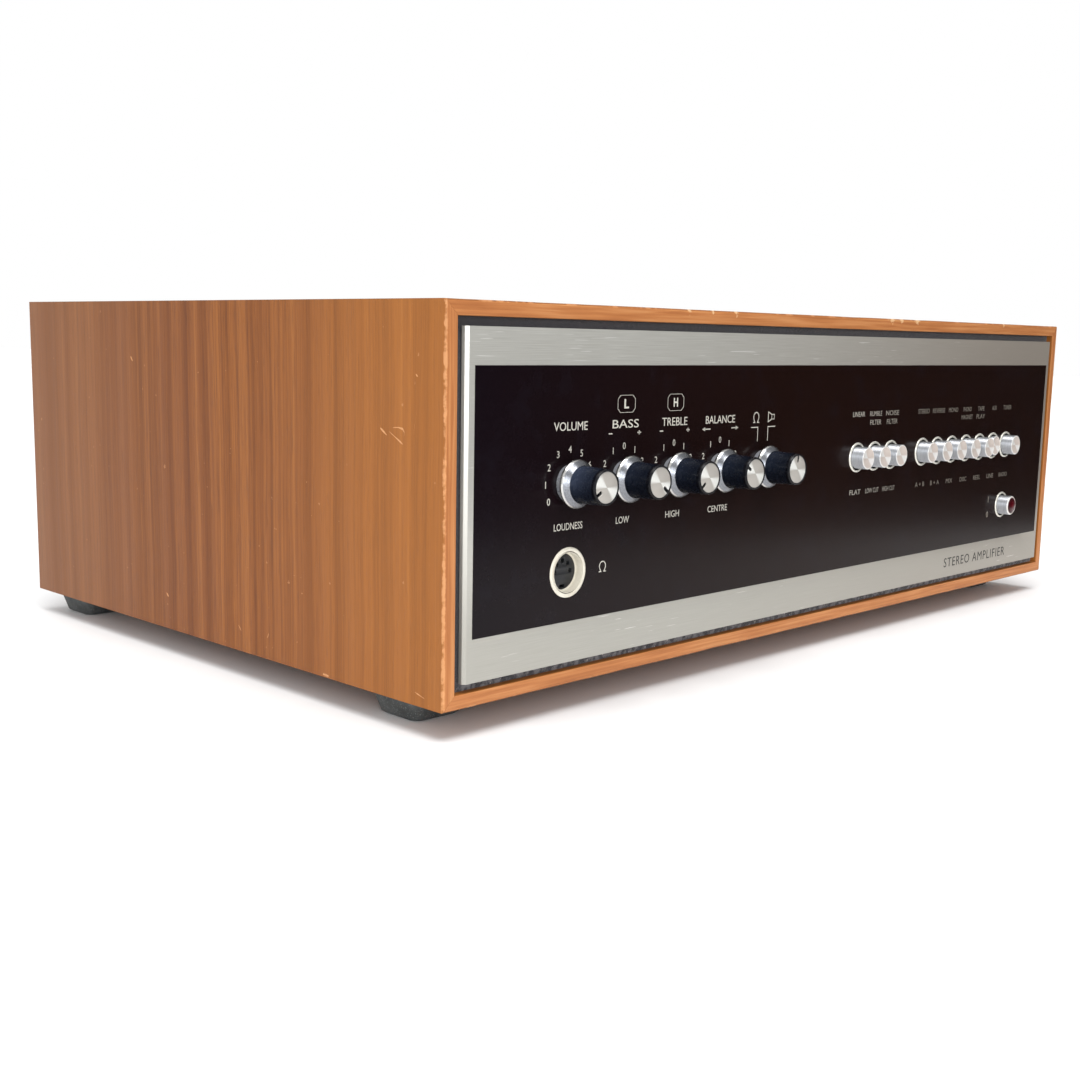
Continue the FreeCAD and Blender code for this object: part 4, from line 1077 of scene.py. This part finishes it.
def headphone_symbol(x, z, size):
    """Head band arc with two ear pads."""
    turns = [math.radians(degrees) for degrees in range(-125, 126, 10)]
    arc = [(x + 0.42 * size * math.sin(turn), z + size * (0.05 + 0.45 * math.cos(turn))) for turn in turns]
    foot = z - 0.45 * size
    return [stroke([(x - 0.5 * size, foot), (x - 0.2 * size, foot), arc[0]], LINE), stroke(arc, LINE),
            stroke([arc[-1], (x + 0.2 * size, foot), (x + 0.5 * size, foot)], LINE)]


def speaker_symbol(x, z):
    """Small box with a cone opening to the left."""
    return [ring_stroke(rectangle(x + 0.2, x + 1.9, z - 0.9, z + 0.9), LINE),
            stroke([(x + 0.2, z + 0.9), (x - 2.1, z + 1.9), (x - 2.1, z - 1.9), (x + 0.2, z - 0.9)], LINE)]


OUTPUT_LEADERS = (((154.9, 84.4), (159.4, 84.4), (159.4, 79.0)),
                  ((170.8, 84.45), (166.0, 84.45), (166.0, 79.0)))
HEADPHONE_PLACE, SPEAKER_PLACE = (158.1, 88.1), (168.1, 88.2)


def output_legends():
    """Headphone and loudspeaker over the output knob with a line to each, and a headphone by the socket."""
    x, z = panel_mm("headphone_ring")
    return [*(stroke(leader, LINE) for leader in OUTPUT_LEADERS), *headphone_symbol(*HEADPHONE_PLACE, 4.0),
            *speaker_symbol(*SPEAKER_PLACE), *headphone_symbol(x + 17.5, z + 0.1, 3.7)]


# Rows of words over and under the ten buttons, by height on the panel: each word with its button and width.
WORD_H = 2.1
BUTTON_WORDS = {
    87.5: ((0, "LINEAR", 9.4), (1, "RUMBLE", 9.7), (2, "NOISE", 10.9), (3, "STEREO", 10.0),
           (4, "REVERSE", 11.2), (5, "MONO", 8.8), (6, "PHONO", 8.0), (7, "TAPE", 6.5), (8, "AUX", 4.6),
           (9, "TUNER", 8.4)),
    83.8: ((1, "FILTER", 8.9), (2, "FILTER", 8.9), (6, "MAGNET", 11.0), (7, "PLAY", 8.4)),
    54.3: ((0, "FLAT", 8.6), (1, "LOW CUT", 10.8), (2, "HIGH CUT", 10.4), (3, "A + B", 8.2),
           (4, "B + A", 8.2), (5, "MIX", 6.1), (6, "DISC", 6.5), (7, "REEL", 7.0), (8, "LINE", 6.7),
           (9, "RADIO", 8.6)),
}


def button_legends():
    meshes = [placed(lettering(text, WORD_H, width), panel_mm(BUTTONS[index])[0], z)
              for z, words in BUTTON_WORDS.items() for index, text, width in words]
    for figure, x, z in (("1", 354.7, 42.5), ("0", 354.5, 35.1)):
        meshes.append(placed(lettering(figure, 3.0, offset=0.1), x, z))
    return meshes


STRIP_WORD_SIZE, STRIP_WORD_PLACE = (4.4, 62.0), (345.0, 15.0)


def build_legends():
    for build in (knob_legends, badge_legends, output_legends, button_legends):
        name = build.__name__
        add_object(name, joined_mesh(name, build()), "ink", CASE)
    words = placed(lettering("STEREO AMPLIFIER", *STRIP_WORD_SIZE, spacing=1.15), *STRIP_WORD_PLACE)
    words.transform(Matrix.Translation((0, INK_PROUD * MM, 0)))
    add_object("strip_legend", words, "dark_ink", CASE)


# ---------------- back and inside
# Node: width of its eased edges, and its material.
SOFTENED = {"rear_panel": (0.25, "rear_paint"), "heat_sink": (0.3, "sink"), "rear_din_sockets": (0.2, "socket"),
            "speaker_sockets": (0.2, "socket"), "fuse_holders": (0.25, "socket"), "mains_inlet": (0.25, "socket"),
            "machine_screws": (0.12, "screw")}
# Node: words of its pieces from left to right, and 1 for over or -1 for under.
REAR_WORDS = {"rear_din_sockets": (("AUX", "TAPE", "TUNER", "DISC"), 1),
              "fuse_holders": (("2 A", "2 A", "1 A"), 1), "speaker_sockets": (("L", "R"), -1)}
REAR_LABEL_H = 2.6
REAR_LABEL_GAP = 2.8


def row_centres(node, count):
    """Centres of a row of equal round pieces, and their radius, from the box of their node."""
    low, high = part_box(node)
    radius = (high.z - low.z) / 2
    first, last = low.x + radius, high.x - radius
    return [(first + (last - first) * index / (count - 1), low.z + radius) for index in range(count)], radius


def rear_label(text, x, z):
    """Word printed on the back panel, to be read from behind."""
    mesh = lettering(text, REAR_LABEL_H)
    mesh.transform(Matrix.Rotation(math.pi, 4, "Z"))
    mesh.transform(Matrix.Translation((x, REAR_Y + INK_PROUD * MM, z)))
    return mesh


def build_rear_legends():
    """Words over each row of sockets and over the mains inlet, and the loudspeakers' sides under theirs."""
    meshes = []
    for node, (words, side) in REAR_WORDS.items():
        centres, radius = row_centres(node, len(words))
        away = side * (radius + REAR_LABEL_GAP * MM)
        meshes += [rear_label(word, x, z + away) for word, (x, z) in zip(words, centres)]
    low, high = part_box("mains_inlet")
    meshes.append(rear_label("MAINS", (low.x + high.x) / 2, high.z + REAR_LABEL_GAP * MM))
    mesh = joined_mesh("rear_legends", meshes)
    add_object("rear_legends", mesh, "rear_ink", CASE)


# Nodes that keep the CAD's own shape, with their materials.
PLAIN = {"chassis_tray": "zinc", "rotary_controls": "zinc", "push_switch_bank": "switch",
         "power_switch": "switch", "transformer_core": "core", "transformer_winding": "winding",
         "reservoir_capacitors": "can", "output_transistors": "transistor", "power_amp_board": "board",
         "tone_board": "board", "knob_collars": "collar", **{knob + "_shaft": "shaft" for knob in KNOBS}}

# ---------------- stage
CAMERA_PLACE = Vector((-0.47965, -0.43816, 0.12660))
CAMERA_RIGHT = Vector((0.70045837, -0.71341415, 0.01995812))
CAMERA_FORWARD = Vector((0.7074889, 0.69041817, -0.15093774))
CAMERA_LENS = 44.956
CAMERA_SENSOR = 36.0
CAMERA_SHIFT = (-0.0083, 0.0042)
SKY_SIDE = (-0.60, 0.50, 0.62)
SKY_RANGE = (-0.75, 0.75, 0.03, 0.85)
FLOOR_SIZE = 12.0
FLOOR_FRONT = 0.41
FLOOR_TURN = math.radians(24)
OVERHEAD_AIM = Vector((0.12, 0.22, -0.95))
OVERHEAD_STRENGTH, OVERHEAD_ANGLE = 2.6, 0.7
WINDOW_AIM = (0.0, -0.1, 0.07)
DAYLIGHT_LINEAR = (0.93, 0.96, 1.0)
# Area lights: name, place, size and watts.
WINDOWS = (("window", (-1.1, -1.35, 0.45), (1.5, 0.9), 12.0),
           ("window_strip", (-1.08, -1.32, 0.44), (1.3, 0.14), 3.2))


def in_scene(name, data):
    holder = bpy.data.objects.new(name, data)
    bpy.context.scene.collection.objects.link(holder)
    return holder


def build_camera():
    holder = in_scene("camera", with_settings(
        bpy.data.cameras.new("camera"), sensor_width=CAMERA_SENSOR, lens=CAMERA_LENS, clip_start=0.01,
        shift_x=CAMERA_SHIFT[0], shift_y=CAMERA_SHIFT[1]))
    rotation = Matrix((CAMERA_RIGHT, CAMERA_RIGHT.cross(CAMERA_FORWARD), -CAMERA_FORWARD)).transposed()
    holder.matrix_world = Matrix.Translation(CAMERA_PLACE) @ rotation.to_4x4()
    bpy.context.scene.camera = holder


def build_windows():
    for name, place, size, watts in WINDOWS:
        holder = in_scene(name, with_settings(
            bpy.data.lights.new(name, "AREA"), shape="RECTANGLE", size=size[0], size_y=size[1], energy=watts,
            color=DAYLIGHT_LINEAR))
        holder.location = place
        holder.rotation_euler = (Vector(WINDOW_AIM) - Vector(place)).to_track_quat("-Z", "Y").to_euler()


def studio_world():
    """White to the camera; to everything else bright above and on the left, dark low at the front right."""
    world = bpy.data.worlds.new("studio")
    world.use_nodes = True
    n = Nodes(world.node_tree)
    direction = n.node("ShaderNodeTexCoord").outputs["Generated"]
    facing = n.node("ShaderNodeVectorMath", {0: direction, 1: SKY_SIDE}, operation="DOT_PRODUCT")
    seen = n.node("ShaderNodeLightPath").outputs["Is Camera Ray"]
    strength = n.between(facing.outputs["Value"], *SKY_RANGE, kind="LINEAR")
    choice = n.node("ShaderNodeMix", {"Factor": seen, 2: strength, 3: 1.0})
    background = n.tree.nodes["Background"]
    n.feed(background.inputs["Strength"], choice.outputs[0])
    n.feed(background.inputs["Color"], (1.0, 1.0, 1.0, 1.0))
    bpy.context.scene.world = world


def build_stage():
    centre = Matrix.Rotation(FLOOR_TURN, 3, "Z") @ Vector((0.0, FLOOR_SIZE / 2 - FLOOR_FRONT, 0.0))
    bpy.ops.mesh.primitive_plane_add(size=FLOOR_SIZE, location=centre, rotation=(0.0, 0.0, FLOOR_TURN))
    floor = bpy.context.object
    floor.name = "studio_floor"
    floor.data.materials.append(floor_paint())
    studio_world()
    sun = with_settings(bpy.data.lights.new("overhead", "SUN"), energy=OVERHEAD_STRENGTH,
                        angle=OVERHEAD_ANGLE)
    in_scene("overhead", sun).rotation_euler = OVERHEAD_AIM.to_track_quat("-Z", "Y").to_euler()
    build_windows()
    bpy.context.scene.view_settings.view_transform = "Standard"


# ---------------- assembly
for board_side in ("top", "bottom", "left", "right"):
    cabinet_board(board_side)
build_wood_marks()
build_felt()
build_feet()
build_fascia()
for knob_name in KNOBS:
    build_knob(knob_name)
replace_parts(bpy.data.objects["volume_collar"], "knob_collars")
build_buttons()
build_headphone_socket()
build_legends()
for rear_node, (edge_width, rear_material) in SOFTENED.items():
    softened(rear_node, edge_width, rear_material)
build_rear_legends()
for plain_node, plain_material in PLAIN.items():
    frame["nodes"][plain_node].data.materials[0] = MATERIALS[plain_material]
build_camera()
build_stage()
